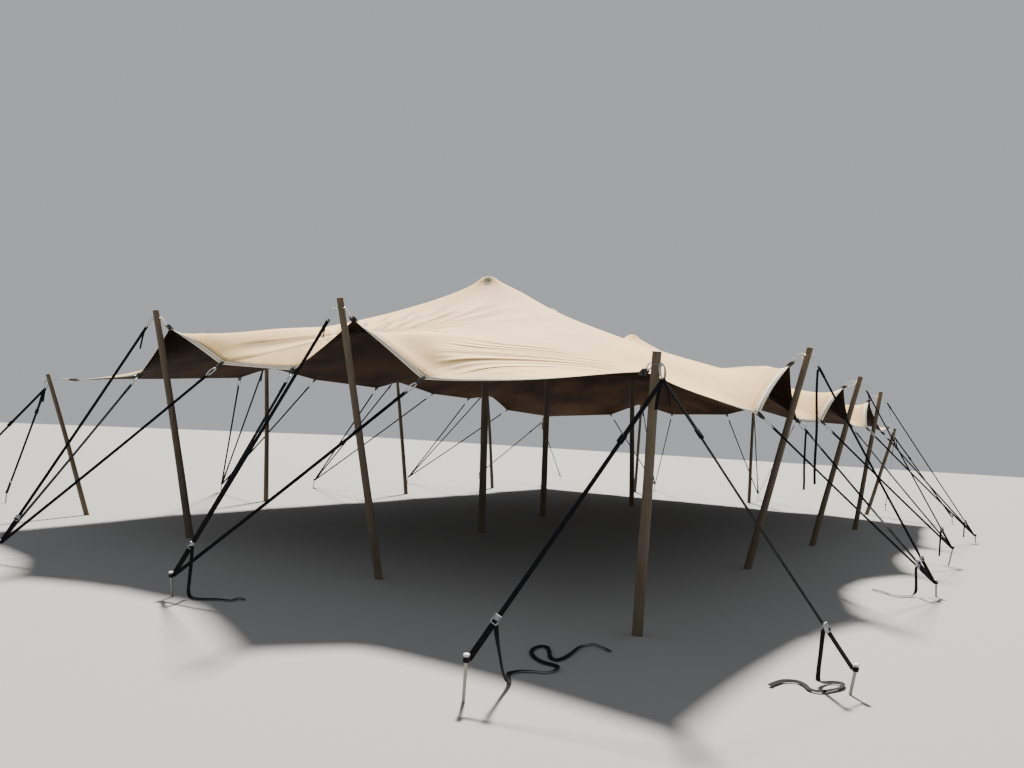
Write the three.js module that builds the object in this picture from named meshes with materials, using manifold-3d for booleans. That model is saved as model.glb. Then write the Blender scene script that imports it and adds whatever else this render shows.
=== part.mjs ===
// Stretch tent: one elastic sheet over three king poles, held out by a ring of leaning timber poles,
// each guyed by webbing straps to steel stakes. Millimetres, +Z up, ground at z = 0.
// The origin is the foot of the middle king pole, +X runs along the ridge away from the front,
// and the left side is at +Y.
import * as THREE from 'three';
import { mergeVertices } from 'three/addons/utils/BufferGeometryUtils.js';
import Module from 'manifold-3d';

const wasm = await Module();
wasm.setup();

// Clearance between neighbouring solids, and the play of a ring on its faceted pole.
const gap = 0.4;
const ringPlay = 0.4;

const sheetThickness = 20;
const hemBow = 0.018;
const capPatchRadius = 140;
const capCrown = 350;

const perimeterPole = { footRadius: 49, topRadius: 39, sides: 10, bow: 12 };
const kingPole = { footRadius: 62, topRadius: 53, sides: 12, bow: 8 };
const poleSegments = 3;
const kingCap = { radius: 95, baseRadius: 71, height: 58, shoulder: 46, slope: 0.3, sides: 16 };

const stakeShaftRadius = 14;
const stakeHead = { radius: 21, topRadius: 17, height: 14, sides: 8 };

const webbing = { width: 38, thickness: 4 };
const clamp = { length: 120, width: 66, height: 44, grip: 45 };
const loop = { width: 30, thickness: 9, lap: 10 };
const headLoopLength = 150;
const lowLoopLength = 150;
const ringDrop = 102;
const poleRing = { wall: 12, height: 30 };
const stakeRing = { wall: 8, height: 26, drop: 40 };
const ratchet = { length: 100, width: 62, height: 40, fromStake: 340 };

// How far into a ring's wall a member runs, as a share of the wall.
const ringBite = 0.55;

const looseStrap = { radius: 12, sides: 8, step: 68 };

// Each corner pole: foot, top, the sheet's corner, and its two stakes. A stake is its head (x, y,
// height) and, where it leans, how far its foot lies from under the head (x, y).
const cornerPoles = [
  {
    name: 'front_right', foot: [-7610, -5030], top: [-7960, -5230, 2320], sheet: [-7700, -5030, 2180],
    stakes: [[-9856, -4831, 292, 14, 14], [-8077, -6750, 210, -6, 37]],
  },
  {
    name: 'front_left', foot: [-6740, 4400], top: [-7390, 4650, 2140], sheet: [-7200, 4270, 2070],
    stakes: [[-8700, 4900, 220], [-6900, 6500, 220]],
  },
  {
    name: 'back_right', foot: [8510, -5030], top: [8790, -5640, 2290], sheet: [8350, -5510, 2290],
    stakes: [[8010, -6990, 220], [10600, -5300, 220]],
  },
  {
    name: 'back_left', foot: [9180, 4940], top: [9530, 5260, 2300], sheet: [9200, 4920, 2270],
    stakes: [[11490, 5520, 220], [9100, 7500, 220]],
  },
];

// Each side pole: foot, top, the sheet's high point, its low points either side, and its stake.
const sidePoles = [
  {
    name: 'right_1', foot: [-3280, -4860], top: [-3520, -5610, 2900], high: [-3370, -5340, 2695],
    lows: [[-4950, -5340, 1970], [-2190, -5230, 2025]], stake: [-3510, -7050, 200],
  },
  {
    name: 'right_2', foot: [160, -5090], top: [60, -5790, 2860], high: [310, -5500, 2700],
    lows: [[-1020, -5380, 2050], [1400, -5480, 2095]], stake: [-446, -7168, 309, -15, 64],
  },
  {
    name: 'right_3', foot: [3910, -5300], top: [3810, -5750, 2890], high: [3990, -5500, 2700],
    lows: [[2930, -5600, 2090], [5340, -5660, 2080]], stake: [3640, -7460, 180],
  },
  {
    name: 'front_1', foot: [-7340, -2020], top: [-8090, -1910, 2880], high: [-7750, -1800, 2710],
    lows: [[-7600, -2630, 2105], [-7500, -690, 2200]], stake: [-9320, -1295, 227, 26, -15],
  },
  {
    name: 'front_2', foot: [-7030, 1510], top: [-7770, 1560, 2940], high: [-7500, 1630, 2750],
    lows: [[-7550, 510, 2265], [-7450, 2280, 2130]], stake: [-9452, 1389, 213, 7, 15],
  },
  {
    name: 'left_1', foot: [-2840, 4800], top: [-2740, 5200, 2900], high: [-2880, 4930, 2700],
    lows: [[-3630, 4900, 2420], [-1600, 4930, 2560]], stake: [-2370, 6760, 220],
  },
  {
    name: 'left_2', foot: [1340, 4560], top: [1440, 5160, 2930], high: [1160, 4900, 2750],
    lows: [[400, 4900, 2540], [2640, 4900, 2560]], stake: [600, 6950, 220],
  },
  {
    name: 'left_3', foot: [5560, 4710], top: [5760, 5210, 2930], high: [5530, 4920, 2710],
    lows: [[4360, 4900, 2550], [6500, 4920, 2340]], stake: [4400, 6950, 220],
  },
  {
    name: 'back_1', foot: [8930, -1900], top: [9430, -1820, 2930], high: [9130, -1900, 2740],
    lows: [[9200, -3100, 2420], [9200, -1100, 2530]], stake: [10880, -1700, 220],
  },
  {
    name: 'back_2', foot: [9250, 1720], top: [9750, 1820, 2930], high: [9450, 1740, 2790],
    lows: [[9230, 600, 2480], [9230, 2650, 2410]], stake: [11250, 1800, 220],
  },
];

// Each king pole: foot, and the point of the sheet's mid-surface that it holds up.
const kingPoles = [
  { name: 'front', foot: [-3160, -590], peak: [-3180, -470, 4190] },
  { name: 'middle', foot: [0, 0], peak: [-20, 55, 4210] },
  { name: 'back', foot: [4220, -200], peak: [4135, -60, 4250] },
];

// The straps' spare ends: down from a ratchet and over the ground, or hanging from a loop.
const looseStraps = [
  {
    name: 'front_right_1',
    route: [
      [-9620.9, -4877, 441.3], [-9602.4, -4881.3, 343.5], [-9574.3, -4890.4, 234.3],
      [-9533.1, -4893.7, 124.6], [-9464, -4885.5, 44.9], [-9370, -4850, 16],
      [-9239, -4766, 14], [-9160, -4769, 14], [-9096, -4810, 14], [-9051, -4885, 14],
      [-9015, -4944, 14], [-8941, -4962, 14], [-8872, -4942, 14], [-8853, -4881, 14],
      [-8845, -4813, 14], [-8795, -4725, 14], [-8700, -4637, 14], [-8584, -4593, 14],
      [-8491, -4603, 14], [-8490, -4657, 14], [-8592, -4728, 14], [-8704, -4798, 14],
      [-8732, -4861, 14], [-8633, -4879, 14], [-8482, -4863, 14], [-8319, -4835, 14],
      [-8213, -4846, 14], [-8157, -4891, 14], [-8173, -4968, 14], [-8251, -5071, 14],
    ],
  },
  {
    name: 'front_right_2',
    route: [
      [-8060.3, -6533, 387.9], [-8059.9, -6526.2, 305.4], [-8059.9, -6518.6, 213.8],
      [-8057, -6509.2, 111.9], [-8035, -6508.1, 36.6], [-7952, -6543, 14], [-7908, -6588, 14],
      [-7900, -6640, 14], [-7996, -6645, 14], [-8109, -6595, 14], [-8185, -6545, 14],
      [-8191, -6480, 14], [-8111, -6430, 14], [-8069, -6370, 14], [-8113, -6299, 14],
      [-8210, -6260, 14], [-8291, -6240, 14],
    ],
  },
  {
    name: 'front_1',
    route: [
      [-9198.6, -1402.3, 442.7], [-9218.6, -1429.6, 359.4], [-9233.1, -1446.8, 257.2],
      [-9244, -1456.4, 148.6], [-9248, -1462.5, 62.9], [-9244, -1495, 18], [-9225, -1561, 14],
      [-9183, -1621, 14], [-9130, -1673, 14], [-9092, -1745, 14], [-9063, -1802, 14],
      [-8998, -1788, 14], [-8945, -1783, 14], [-8963, -1857, 14],
    ],
  },
  {
    name: 'right_1_ground',
    route: [
      [-3677.7, -6850.6, 321.5], [-3679.2, -6852.5, 251.7], [-3681.3, -6855.3, 156.8],
      [-3688.6, -6853.6, 63.3], [-3734.6, -6825.6, 20.8], [-3800, -6790, 14],
      [-3826, -6759, 14], [-3891, -6688, 14], [-3874, -6630, 14], [-3821, -6585, 14],
      [-3756, -6536, 14], [-3711, -6472, 14], [-3689, -6400, 14],
    ],
  },
  {
    name: 'right_1_head',
    route: [
      [-3515.1, -5708.3, 2614.7], [-3516.8, -5704.5, 2535.9], [-3520.3, -5701.6, 2339.3],
      [-3514.6, -5706.3, 2119.7], [-3508.2, -5711.8, 1906.2], [-3512, -5709, 1700],
      [-3520, -5704, 1500], [-3517, -5702, 1340], [-3510, -5706, 1180],
    ],
  },
  {
    name: 'right_1_hem',
    route: [
      [-2295.7, -5376.8, 1862.3], [-2292.9, -5369.8, 1798.4], [-2288.9, -5364.9, 1646.7],
      [-2292, -5361.9, 1483.8], [-2297, -5362, 1320.3], [-2292, -5366, 1170],
      [-2286, -5363, 1040],
    ],
  },
];

// Grid cells between neighbouring fixed points of the sheet, along X and along Y.
const cellsAlongX = [6, 3, 3, 2, 3, 3, 3, 3, 3, 6];
const cellsAlongY = [5, 2, 2, 1, 1, 2, 2, 4];
const kingColumns = [2, 5, 8];
const ridgeStation = 4;
const finer = 4;
const relaxation = { sweeps: 500, factor: 1.9 };
const capPull = { front: 100, middle: 160, back: 1000, reach: 1600 };
const linePull = { front: 0.41, back: 0.41, right: 0.04, left: 0.04, spread: 400 };
const weldDistance = 1e-3;

const up = new THREE.Vector3(0, 0, 1);
const point = (xyz) => new THREE.Vector3(xyz[0], xyz[1], xyz[2] ?? 0);
const between = (a, b, share) => a.clone().lerp(b, share);

const colours = {
  sheet: new THREE.MeshStandardMaterial({ color: 0xd9c7a8, roughness: 0.85, side: THREE.DoubleSide }),
  timber: new THREE.MeshStandardMaterial({ color: 0xa8906c, roughness: 0.8 }),
  cap: new THREE.MeshStandardMaterial({ color: 0x5a5854, roughness: 0.7 }),
  steel: new THREE.MeshStandardMaterial({ color: 0x9b9c9a, roughness: 0.45, metalness: 0.8 }),
  webbing: new THREE.MeshStandardMaterial({ color: 0x1d1e21, roughness: 0.75 }),
};

const tent = new THREE.Group();

function addPiece(name, geometry, material) {
  const mesh = new THREE.Mesh(geometry, material);
  mesh.name = name;
  tent.add(mesh);
}

// Solids for joins and cuts.
function solidOf(geometry) {
  const bare = geometry.clone();
  bare.deleteAttribute('normal');
  bare.deleteAttribute('uv');
  const merged = mergeVertices(bare, weldDistance);
  return new wasm.Manifold(new wasm.Mesh({
    numProp: 3,
    vertProperties: merged.attributes.position.array,
    triVerts: new Uint32Array(merged.index.array),
  }));
}

function geometryOf(solid) {
  const mesh = solid.getMesh();
  const geometry = new THREE.BufferGeometry();
  geometry.setAttribute('position', new THREE.BufferAttribute(mesh.vertProperties, 3));
  geometry.setIndex(new THREE.BufferAttribute(mesh.triVerts, 1));
  geometry.computeVertexNormals();
  return geometry;
}

function joined(solids) {
  return solids.reduce((whole, piece) => whole.add(piece));
}

function largestBody(solid) {
  const bodies = solid.decompose();
  return bodies.reduce((best, body) => (body.volume() > best.volume() ? body : best));
}

// The sheet. Its plan is a net of cells drawn between four edges and the ridge line through the kings.
function runOfPoints(stations, cells) {
  const run = [];
  stations.slice(1).forEach((end, k) => {
    const start = stations[k];
    for (let n = 0; n < cells[k]; n += 1) run.push(between(start, end, n / cells[k]));
  });
  run.push(stations[stations.length - 1].clone());
  return run;
}

function sideNamed(side) {
  return sidePoles.filter((pole) => pole.name.startsWith(side));
}

function cornerNamed(name) {
  return point(cornerPoles.find((pole) => pole.name === name).sheet);
}

function edgeStations(firstCorner, side, lastCorner) {
  const held = sideNamed(side).flatMap((pole) => [pole.lows[0], pole.high, pole.lows[1]]);
  return [cornerNamed(firstCorner), ...held.map(point), cornerNamed(lastCorner)];
}

// A free edge bows inwards a little between the points that hold it.
function bowedRun(stations, cells, inward) {
  const run = runOfPoints(stations, cells);
  let index = 0;
  cells.forEach((count, k) => {
    const bow = stations[k].distanceTo(stations[k + 1]) * hemBow;
    for (let n = 0; n < count; n += 1) {
      run[index + n].addScaledVector(inward, bow * Math.sin((Math.PI * n) / count));
    }
    index += count;
  });
  return run;
}

const rightEdge = bowedRun(
  edgeStations('front_right', 'right', 'back_right'), cellsAlongX, new THREE.Vector3(0, 1, 0),
);
const leftEdge = bowedRun(
  edgeStations('front_left', 'left', 'back_left'), cellsAlongX, new THREE.Vector3(0, -1, 0),
);

function endStations(firstCorner, side, lastCorner) {
  const stations = edgeStations(firstCorner, side, lastCorner);
  const middle = between(stations[ridgeStation - 1], stations[ridgeStation], 0.5);
  stations.splice(ridgeStation, 0, middle);
  return stations;
}

const frontEdge = bowedRun(
  endStations('front_right', 'front', 'front_left'), cellsAlongY, new THREE.Vector3(1, 0, 0),
);
const backEdge = bowedRun(
  endStations('back_right', 'back', 'back_left'), cellsAlongY, new THREE.Vector3(-1, 0, 0),
);

const sumOf = (counts) => counts.reduce((total, count) => total + count, 0);
const columns = sumOf(cellsAlongX);
const rows = sumOf(cellsAlongY);
const ridgeRow = sumOf(cellsAlongY.slice(0, ridgeStation));
const kingAt = kingColumns.map((k) => sumOf(cellsAlongX.slice(0, k)));

const ridgeLine = runOfPoints(
  [frontEdge[ridgeRow], ...kingPoles.map((king) => point(king.peak)), backEdge[ridgeRow]],
  [kingAt[0], kingAt[1] - kingAt[0], kingAt[2] - kingAt[1], columns - kingAt[2]],
);

// One half of the plan: the four edges blended over the cells between row `from` and row `to`.
function blended(i, j, from, to, near, far) {
  const s = i / columns;
  const t = (j - from) / (to - from);
  const plan = new THREE.Vector3();
  plan.addScaledVector(near[i], 1 - t).addScaledVector(far[i], t);
  plan.addScaledVector(frontEdge[j], 1 - s).addScaledVector(backEdge[j], s);
  plan.addScaledVector(near[0], -(1 - s) * (1 - t)).addScaledVector(near[columns], -s * (1 - t));
  plan.addScaledVector(far[0], -(1 - s) * t).addScaledVector(far[columns], -s * t);
  return plan;
}

function planPoint(i, j) {
  if (j <= ridgeRow) return blended(i, j, 0, ridgeRow, rightEdge, ridgeLine);
  return blended(i, j, ridgeRow, rows, ridgeLine, leftEdge);
}

const net = [];
for (let i = 0; i <= columns; i += 1) {
  net.push(Array.from({ length: rows + 1 }, (_, j) => planPoint(i, j)));
}

// The eight net points about each king close up to a ring at the rim of its cap.
kingPoles.forEach((king, k) => {
  const peak = point(king.peak);
  for (let di = -1; di <= 1; di += 1) {
    for (let dj = -1; dj <= 1; dj += 1) {
      const spot = net[kingAt[k] + di][ridgeRow + dj];
      const away = new THREE.Vector3(di, dj, 0);
      spot.copy(peak);
      if (di || dj) spot.addScaledVector(away.normalize(), capPatchRadius);
    }
  }
});

// The cloth pulls harder near a cap and along the line from each side pole's head to the nearest cap.
const onPlan = (xyz) => new THREE.Vector3(xyz[0], xyz[1], 0);

function stretchLine(pole) {
  const head = onPlan(pole.high);
  const peaks = kingPoles.map((king) => onPlan(king.peak));
  peaks.sort((a, b) => a.distanceTo(head) - b.distanceTo(head));
  return { line: new THREE.Line3(head, peaks[0]), pull: linePull[pole.name.split('_')[0]] };
}

const stretchLines = sidePoles.map(stretchLine);

function tensionAt(spot) {
  const here = new THREE.Vector3(spot.x, spot.y, 0);
  const nearest = new THREE.Vector3();
  const caps = kingPoles.map((king) => (
    capPull[king.name] / (capPull.reach + here.distanceTo(onPlan(king.peak)))
  ));
  const lines = stretchLines.map(({ line, pull }) => {
    line.closestPointToPoint(here, true, nearest);
    return pull * Math.exp(-((here.distanceTo(nearest) / linePull.spread) ** 2));
  });
  return sumOf(caps) + sumOf(lines);
}

// Heights: a film stretched between its edges and the caps, relaxed on a finer net.
function relaxedHeights() {
  const across = columns * finer;
  const along = rows * finer;
  const plan = [];
  const height = [];
  const held = [];
  for (let i = 0; i <= across; i += 1) {
    const ci = Math.min(Math.floor(i / finer), columns - 1);
    const u = i / finer - ci;
    plan.push([]);
    height.push(new Float64Array(along + 1));
    held.push(new Uint8Array(along + 1));
    for (let j = 0; j <= along; j += 1) {
      const cj = Math.min(Math.floor(j / finer), rows - 1);
      const v = j / finer - cj;
      const low = between(net[ci][cj], net[ci + 1][cj], u);
      const high = between(net[ci][cj + 1], net[ci + 1][cj + 1], u);
      const spot = low.lerp(high, v);
      plan[i].push(spot);
      height[i][j] = spot.z;
      held[i][j] = i === 0 || j === 0 || i === across || j === along ? 1 : 0;
      kingPoles.forEach((king) => {
        const reach = Math.hypot(spot.x - king.peak[0], spot.y - king.peak[1]);
        if (reach > capPatchRadius + gap) return;
        height[i][j] = king.peak[2] - (reach * reach) / (2 * capCrown);
        held[i][j] = 1;
      });
    }
  }
  const flat = (a, b) => Math.hypot(a.x - b.x, a.y - b.y);
  const tension = plan.map((column) => column.map(tensionAt));
  const pullX = [];
  const pullY = [];
  for (let i = 0; i <= across; i += 1) {
    pullX.push(new Float64Array(along + 1));
    pullY.push(new Float64Array(along + 1));
    for (let j = 1; j < along; j += 1) {
      if (i === across) continue;
      const near = flat(plan[i][j + 1], plan[i][j - 1]);
      const far = flat(plan[i + 1][j + 1], plan[i + 1][j - 1]);
      const pull = tension[i][j] + tension[i + 1][j];
      pullX[i][j] = (pull * (near + far)) / (4 * flat(plan[i][j], plan[i + 1][j]));
    }
    for (let j = 0; j < along; j += 1) {
      if (i === 0 || i === across) continue;
      const near = flat(plan[i + 1][j], plan[i - 1][j]);
      const far = flat(plan[i + 1][j + 1], plan[i - 1][j + 1]);
      const pull = tension[i][j] + tension[i][j + 1];
      pullY[i][j] = (pull * (near + far)) / (4 * flat(plan[i][j], plan[i][j + 1]));
    }
  }
  for (let sweep = 0; sweep < relaxation.sweeps; sweep += 1) {
    for (let i = 1; i < across; i += 1) {
      for (let j = 1; j < along; j += 1) {
        if (held[i][j]) continue;
        const west = pullX[i - 1][j];
        const east = pullX[i][j];
        const south = pullY[i][j - 1];
        const north = pullY[i][j];
        const rest = (west * height[i - 1][j] + east * height[i + 1][j]
          + south * height[i][j - 1] + north * height[i][j + 1]) / (west + east + south + north);
        height[i][j] += relaxation.factor * (rest - height[i][j]);
      }
    }
  }
  return height;
}

const heights = relaxedHeights();
net.forEach((column, i) => column.forEach((spot, j) => {
  spot.z = heights[i * finer][j * finer];
}));

// The sheet as a closed slab about the net, `swell` thicker all round where a clamp is cut to fit it.
function slabGeometry(swell) {
  const surface = new THREE.PlaneGeometry(1, 1, columns, rows);
  const positions = surface.attributes.position;
  const at = (i, j) => (rows - j) * (columns + 1) + i;
  for (let i = 0; i <= columns; i += 1) {
    for (let j = 0; j <= rows; j += 1) {
      const spot = net[i][j].clone();
      if (i === 0) spot.x -= swell;
      if (i === columns) spot.x += swell;
      if (j === 0) spot.y -= swell;
      if (j === rows) spot.y += swell;
      positions.setXYZ(at(i, j), spot.x, spot.y, spot.z);
    }
  }
  surface.computeVertexNormals();
  const normals = surface.attributes.normal;
  const count = positions.count;
  const both = new Float32Array(count * 6);
  const half = sheetThickness / 2 + swell;
  const spot = new THREE.Vector3();
  const lift = new THREE.Vector3();
  for (let n = 0; n < count; n += 1) {
    lift.fromBufferAttribute(normals, n).multiplyScalar(half);
    spot.fromBufferAttribute(positions, n).add(lift).toArray(both, n * 3);
    spot.fromBufferAttribute(positions, n).sub(lift).toArray(both, (count + n) * 3);
  }
  const faces = [];
  const cells = Array.from(surface.index.array);
  for (let n = 0; n < cells.length; n += 3) {
    faces.push(cells[n], cells[n + 1], cells[n + 2]);
    faces.push(count + cells[n], count + cells[n + 2], count + cells[n + 1]);
  }
  const rim = [];
  for (let i = 0; i < columns; i += 1) rim.push(at(i, 0));
  for (let j = 0; j < rows; j += 1) rim.push(at(columns, j));
  for (let i = columns; i > 0; i -= 1) rim.push(at(i, rows));
  for (let j = rows; j > 0; j -= 1) rim.push(at(0, j));
  rim.forEach((here, k) => {
    const next = rim[(k + 1) % rim.length];
    faces.push(here, count + here, count + next, here, count + next, next);
  });
  const slab = new THREE.BufferGeometry();
  slab.setAttribute('position', new THREE.BufferAttribute(both, 3));
  slab.setIndex(faces);
  return slab;
}

// Poles. The foot is cut level with the ground, and a king's top level under its cap.
function slideToLevel(geometry, picked, axis, level) {
  const positions = geometry.attributes.position;
  picked.forEach((n) => {
    const slide = (level - positions.getZ(n)) / axis.z;
    positions.setXYZ(
      n, positions.getX(n) + axis.x * slide, positions.getY(n) + axis.y * slide, level,
    );
  });
}

function standUp(geometry, axis) {
  geometry.applyQuaternion(new THREE.Quaternion().setFromUnitVectors(new THREE.Vector3(0, 1, 0), axis));
}

function poleGeometry(foot, top, size, levelTop) {
  const axis = top.clone().sub(foot);
  const length = axis.length();
  axis.normalize();
  const { topRadius, footRadius, sides } = size;
  const geometry = new THREE.CylinderGeometry(topRadius, footRadius, length, sides, poleSegments);
  const positions = geometry.attributes.position;
  const lowest = [];
  const highest = [];
  for (let n = 0; n < positions.count; n += 1) {
    const share = positions.getY(n) / length + 0.5;
    if (share < gap / length) lowest.push(n);
    if (share > 1 - gap / length) highest.push(n);
    positions.setX(n, positions.getX(n) + size.bow * Math.sin(Math.PI * share));
  }
  geometry.translate(0, length / 2, 0);
  standUp(geometry, axis);
  geometry.translate(foot.x, foot.y, foot.z);
  slideToLevel(geometry, lowest, axis, 0);
  if (levelTop) slideToLevel(geometry, highest, axis, top.z);
  return geometry;
}

// A band round a pole or stake, from a closed four-cornered profile.
function bandGeometry(innerRadius, wall, height, sides) {
  const profile = [
    new THREE.Vector2(innerRadius, -height / 2),
    new THREE.Vector2(innerRadius + wall, -height / 2),
    new THREE.Vector2(innerRadius + wall, height / 2),
    new THREE.Vector2(innerRadius, height / 2),
    new THREE.Vector2(innerRadius, -height / 2),
  ];
  return new THREE.LatheGeometry(profile, sides);
}

// The middle of a stake's shaft at a height.
function shaftAt(stake, level) {
  const [x, y, height, leanX = 0, leanY = 0] = stake;
  const share = 1 - level / height;
  return new THREE.Vector3(x + leanX * share, y + leanY * share, level);
}

// From upright at the origin to the stake's own place and lean, level faces staying level.
function leanWith(geometry, stake) {
  const foot = shaftAt(stake, 0);
  const head = shaftAt(stake, stake[2]);
  const slope = head.sub(foot).divideScalar(stake[2]);
  return geometry.applyMatrix4(new THREE.Matrix4().set(
    1, 0, slope.x, foot.x,
    0, 1, slope.y, foot.y,
    0, 0, 1, 0,
    0, 0, 0, 1,
  ));
}

function stakeGeometry(base) {
  const shoulder = base[2] - stakeHead.height;
  const profile = [
    new THREE.Vector2(0, 0),
    new THREE.Vector2(stakeShaftRadius, 0),
    new THREE.Vector2(stakeShaftRadius, shoulder),
    new THREE.Vector2(stakeHead.radius, shoulder),
    new THREE.Vector2(stakeHead.topRadius, base[2]),
    new THREE.Vector2(0, base[2]),
  ];
  const geometry = new THREE.LatheGeometry(profile, stakeHead.sides);
  geometry.rotateX(Math.PI / 2);
  return leanWith(geometry, base);
}

// Straight members of the rigging between two points.
function alongGeometry(geometry, start, end) {
  const along = end.clone().sub(start).normalize();
  const across = new THREE.Vector3().crossVectors(along, up).normalize();
  const face = new THREE.Vector3().crossVectors(along, across);
  const turn = new THREE.Matrix4().makeBasis(across, face, along);
  geometry.applyMatrix4(turn);
  const middle = between(start, end, 0.5);
  geometry.translate(middle.x, middle.y, middle.z);
  return geometry;
}

function barSolid(start, end, width, thickness) {
  const length = start.distanceTo(end);
  return solidOf(alongGeometry(new THREE.BoxGeometry(width, thickness, length), start, end));
}

const sheetCutter = solidOf(slabGeometry(gap));

// A clamp bites the hem at `spot`, and its outer end faces `towards`.
function clampSolid(spot, towards) {
  const along = towards.clone().sub(spot).normalize();
  const inner = spot.clone().addScaledVector(along, -clamp.grip);
  const outer = inner.clone().addScaledVector(along, clamp.length);
  const block = barSolid(inner, outer, clamp.width, clamp.height);
  return { solid: largestBody(block.subtract(sheetCutter)), outer, along };
}

// The point in a band's wall that faces `target`.
function bandEdge(band, target) {
  const along = target.clone().sub(band.centre);
  along.addScaledVector(band.axis, -along.dot(band.axis)).normalize();
  return band.centre.clone().addScaledVector(along, band.reach);
}

function stakeRingAt(stake) {
  const { wall, height } = stakeRing;
  const ring = bandGeometry(stakeShaftRadius + gap, wall, height, stakeHead.sides);
  ring.rotateX(Math.PI / 2);
  const centre = shaftAt(stake, stake[2] - stakeRing.drop);
  ring.translate(0, 0, centre.z);
  leanWith(ring, stake);
  return { solid: solidOf(ring), centre, axis: up, reach: stakeShaftRadius + wall * ringBite };
}

function poleRingAt(pole) {
  const foot = point(pole.foot);
  const top = point(pole.top);
  const axis = top.clone().sub(foot);
  const share = 1 - ringDrop / axis.length();
  const spread = perimeterPole.footRadius - perimeterPole.topRadius;
  const radius = perimeterPole.footRadius - spread * share + gap + ringPlay;
  const ring = bandGeometry(radius, poleRing.wall, poleRing.height, perimeterPole.sides);
  ring.translate(perimeterPole.bow * Math.sin(Math.PI * share), 0, 0);
  axis.normalize();
  standUp(ring, axis);
  const centre = between(foot, top, share);
  ring.translate(centre.x, centre.y, centre.z);
  return { solid: solidOf(ring), centre, axis, reach: radius + poleRing.wall * ringBite };
}

// A loop from `start`, then the strap with its ratchet from the loop's end to the stake's ring.
function loopAndStrap(start, loopLength, hold) {
  const foot = bandEdge(hold, start);
  const along = foot.clone().sub(start).normalize();
  const end = start.clone().addScaledVector(along, loopLength);
  const lapped = end.clone().addScaledVector(along, loop.lap);
  const outer = foot.clone().addScaledVector(along, -ratchet.fromStake);
  const inner = outer.clone().addScaledVector(along, ratchet.length);
  return [
    barSolid(start, lapped, loop.width, loop.thickness),
    barSolid(end, foot, webbing.width, webbing.thickness),
    barSolid(outer, inner, ratchet.width, ratchet.height),
  ];
}

// From the pole's ring outwards to the stake.
function guySolids(ring, hold) {
  return loopAndStrap(bandEdge(ring, hold.centre), headLoopLength, hold);
}

// From the pole's ring inwards: a loop to the clamp on the sheet.
function holdSolids(ring, spot) {
  const start = bandEdge(ring, spot);
  const bite = clampSolid(spot, start);
  const end = bite.outer.clone().addScaledVector(bite.along, -loop.lap);
  return [bite.solid, barSolid(start, end, loop.width, loop.thickness)];
}

// From a low point of the hem: clamp, loop and strap down to the stake.
function lowSolids(spot, hold) {
  const bite = clampSolid(spot, hold.centre);
  const start = bite.outer.clone().addScaledVector(bite.along, -loop.lap);
  return [bite.solid, ...loopAndStrap(start, lowLoopLength, hold)];
}

addPiece('canopy', slabGeometry(0), colours.sheet);

kingPoles.forEach((king) => {
  const underside = king.peak[2] - sheetThickness / 2 - gap;
  const { radius, baseRadius, height, shoulder, slope, sides } = kingCap;
  const profile = [
    new THREE.Vector2(0, -height),
    new THREE.Vector2(baseRadius, -height),
    new THREE.Vector2(radius, -shoulder),
    new THREE.Vector2(radius, -radius * slope),
    new THREE.Vector2(0, 0),
  ];
  const cap = new THREE.LatheGeometry(profile, sides);
  cap.rotateX(Math.PI / 2);
  cap.translate(king.peak[0], king.peak[1], underside);
  addPiece(`king_cap_${king.name}`, cap, colours.cap);
  const top = point([king.peak[0], king.peak[1], underside - height - gap]);
  const post = poleGeometry(point(king.foot), top, kingPole, true);
  addPiece(`king_pole_${king.name}`, post, colours.timber);
});

sidePoles.forEach((pole) => {
  const stakeHold = stakeRingAt(pole.stake);
  const ring = poleRingAt(pole);
  const rigging = joined([
    stakeHold.solid,
    ring.solid,
    ...guySolids(ring, stakeHold),
    ...holdSolids(ring, point(pole.high)),
    ...pole.lows.flatMap((low) => lowSolids(point(low), stakeHold)),
  ]);
  const post = poleGeometry(point(pole.foot), point(pole.top), perimeterPole);
  addPiece(`side_pole_${pole.name}`, post, colours.timber);
  addPiece(`rigging_${pole.name}`, geometryOf(rigging), colours.webbing);
  addPiece(`stake_${pole.name}`, stakeGeometry(pole.stake), colours.steel);
});

cornerPoles.forEach((pole) => {
  const ring = poleRingAt(pole);
  const holds = pole.stakes.map(stakeRingAt);
  const rigging = joined([
    ring.solid,
    ...holdSolids(ring, point(pole.sheet)),
    ...holds.flatMap((hold) => [hold.solid, ...guySolids(ring, hold)]),
  ]);
  const post = poleGeometry(point(pole.foot), point(pole.top), perimeterPole);
  addPiece(`corner_pole_${pole.name}`, post, colours.timber);
  addPiece(`rigging_corner_${pole.name}`, geometryOf(rigging), colours.webbing);
  pole.stakes.forEach((stake, k) => {
    addPiece(`stake_corner_${pole.name}_${k + 1}`, stakeGeometry(stake), colours.steel);
  });
});

const looseSection = new THREE.Shape();
looseSection.absarc(0, 0, looseStrap.radius, 0, Math.PI * 2);

looseStraps.forEach((strap) => {
  const path = new THREE.CatmullRomCurve3(strap.route.map(point));
  const geometry = new THREE.ExtrudeGeometry(looseSection, {
    extrudePath: path,
    steps: Math.round(path.getLength() / looseStrap.step),
    curveSegments: looseStrap.sides / 2,
  });
  addPiece(`loose_strap_${strap.name}`, geometry, colours.webbing);
});

export default tent;
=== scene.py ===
import math
import random

import bmesh
import bpy
import numpy as np
from mathutils import Matrix, Vector, noise


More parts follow.
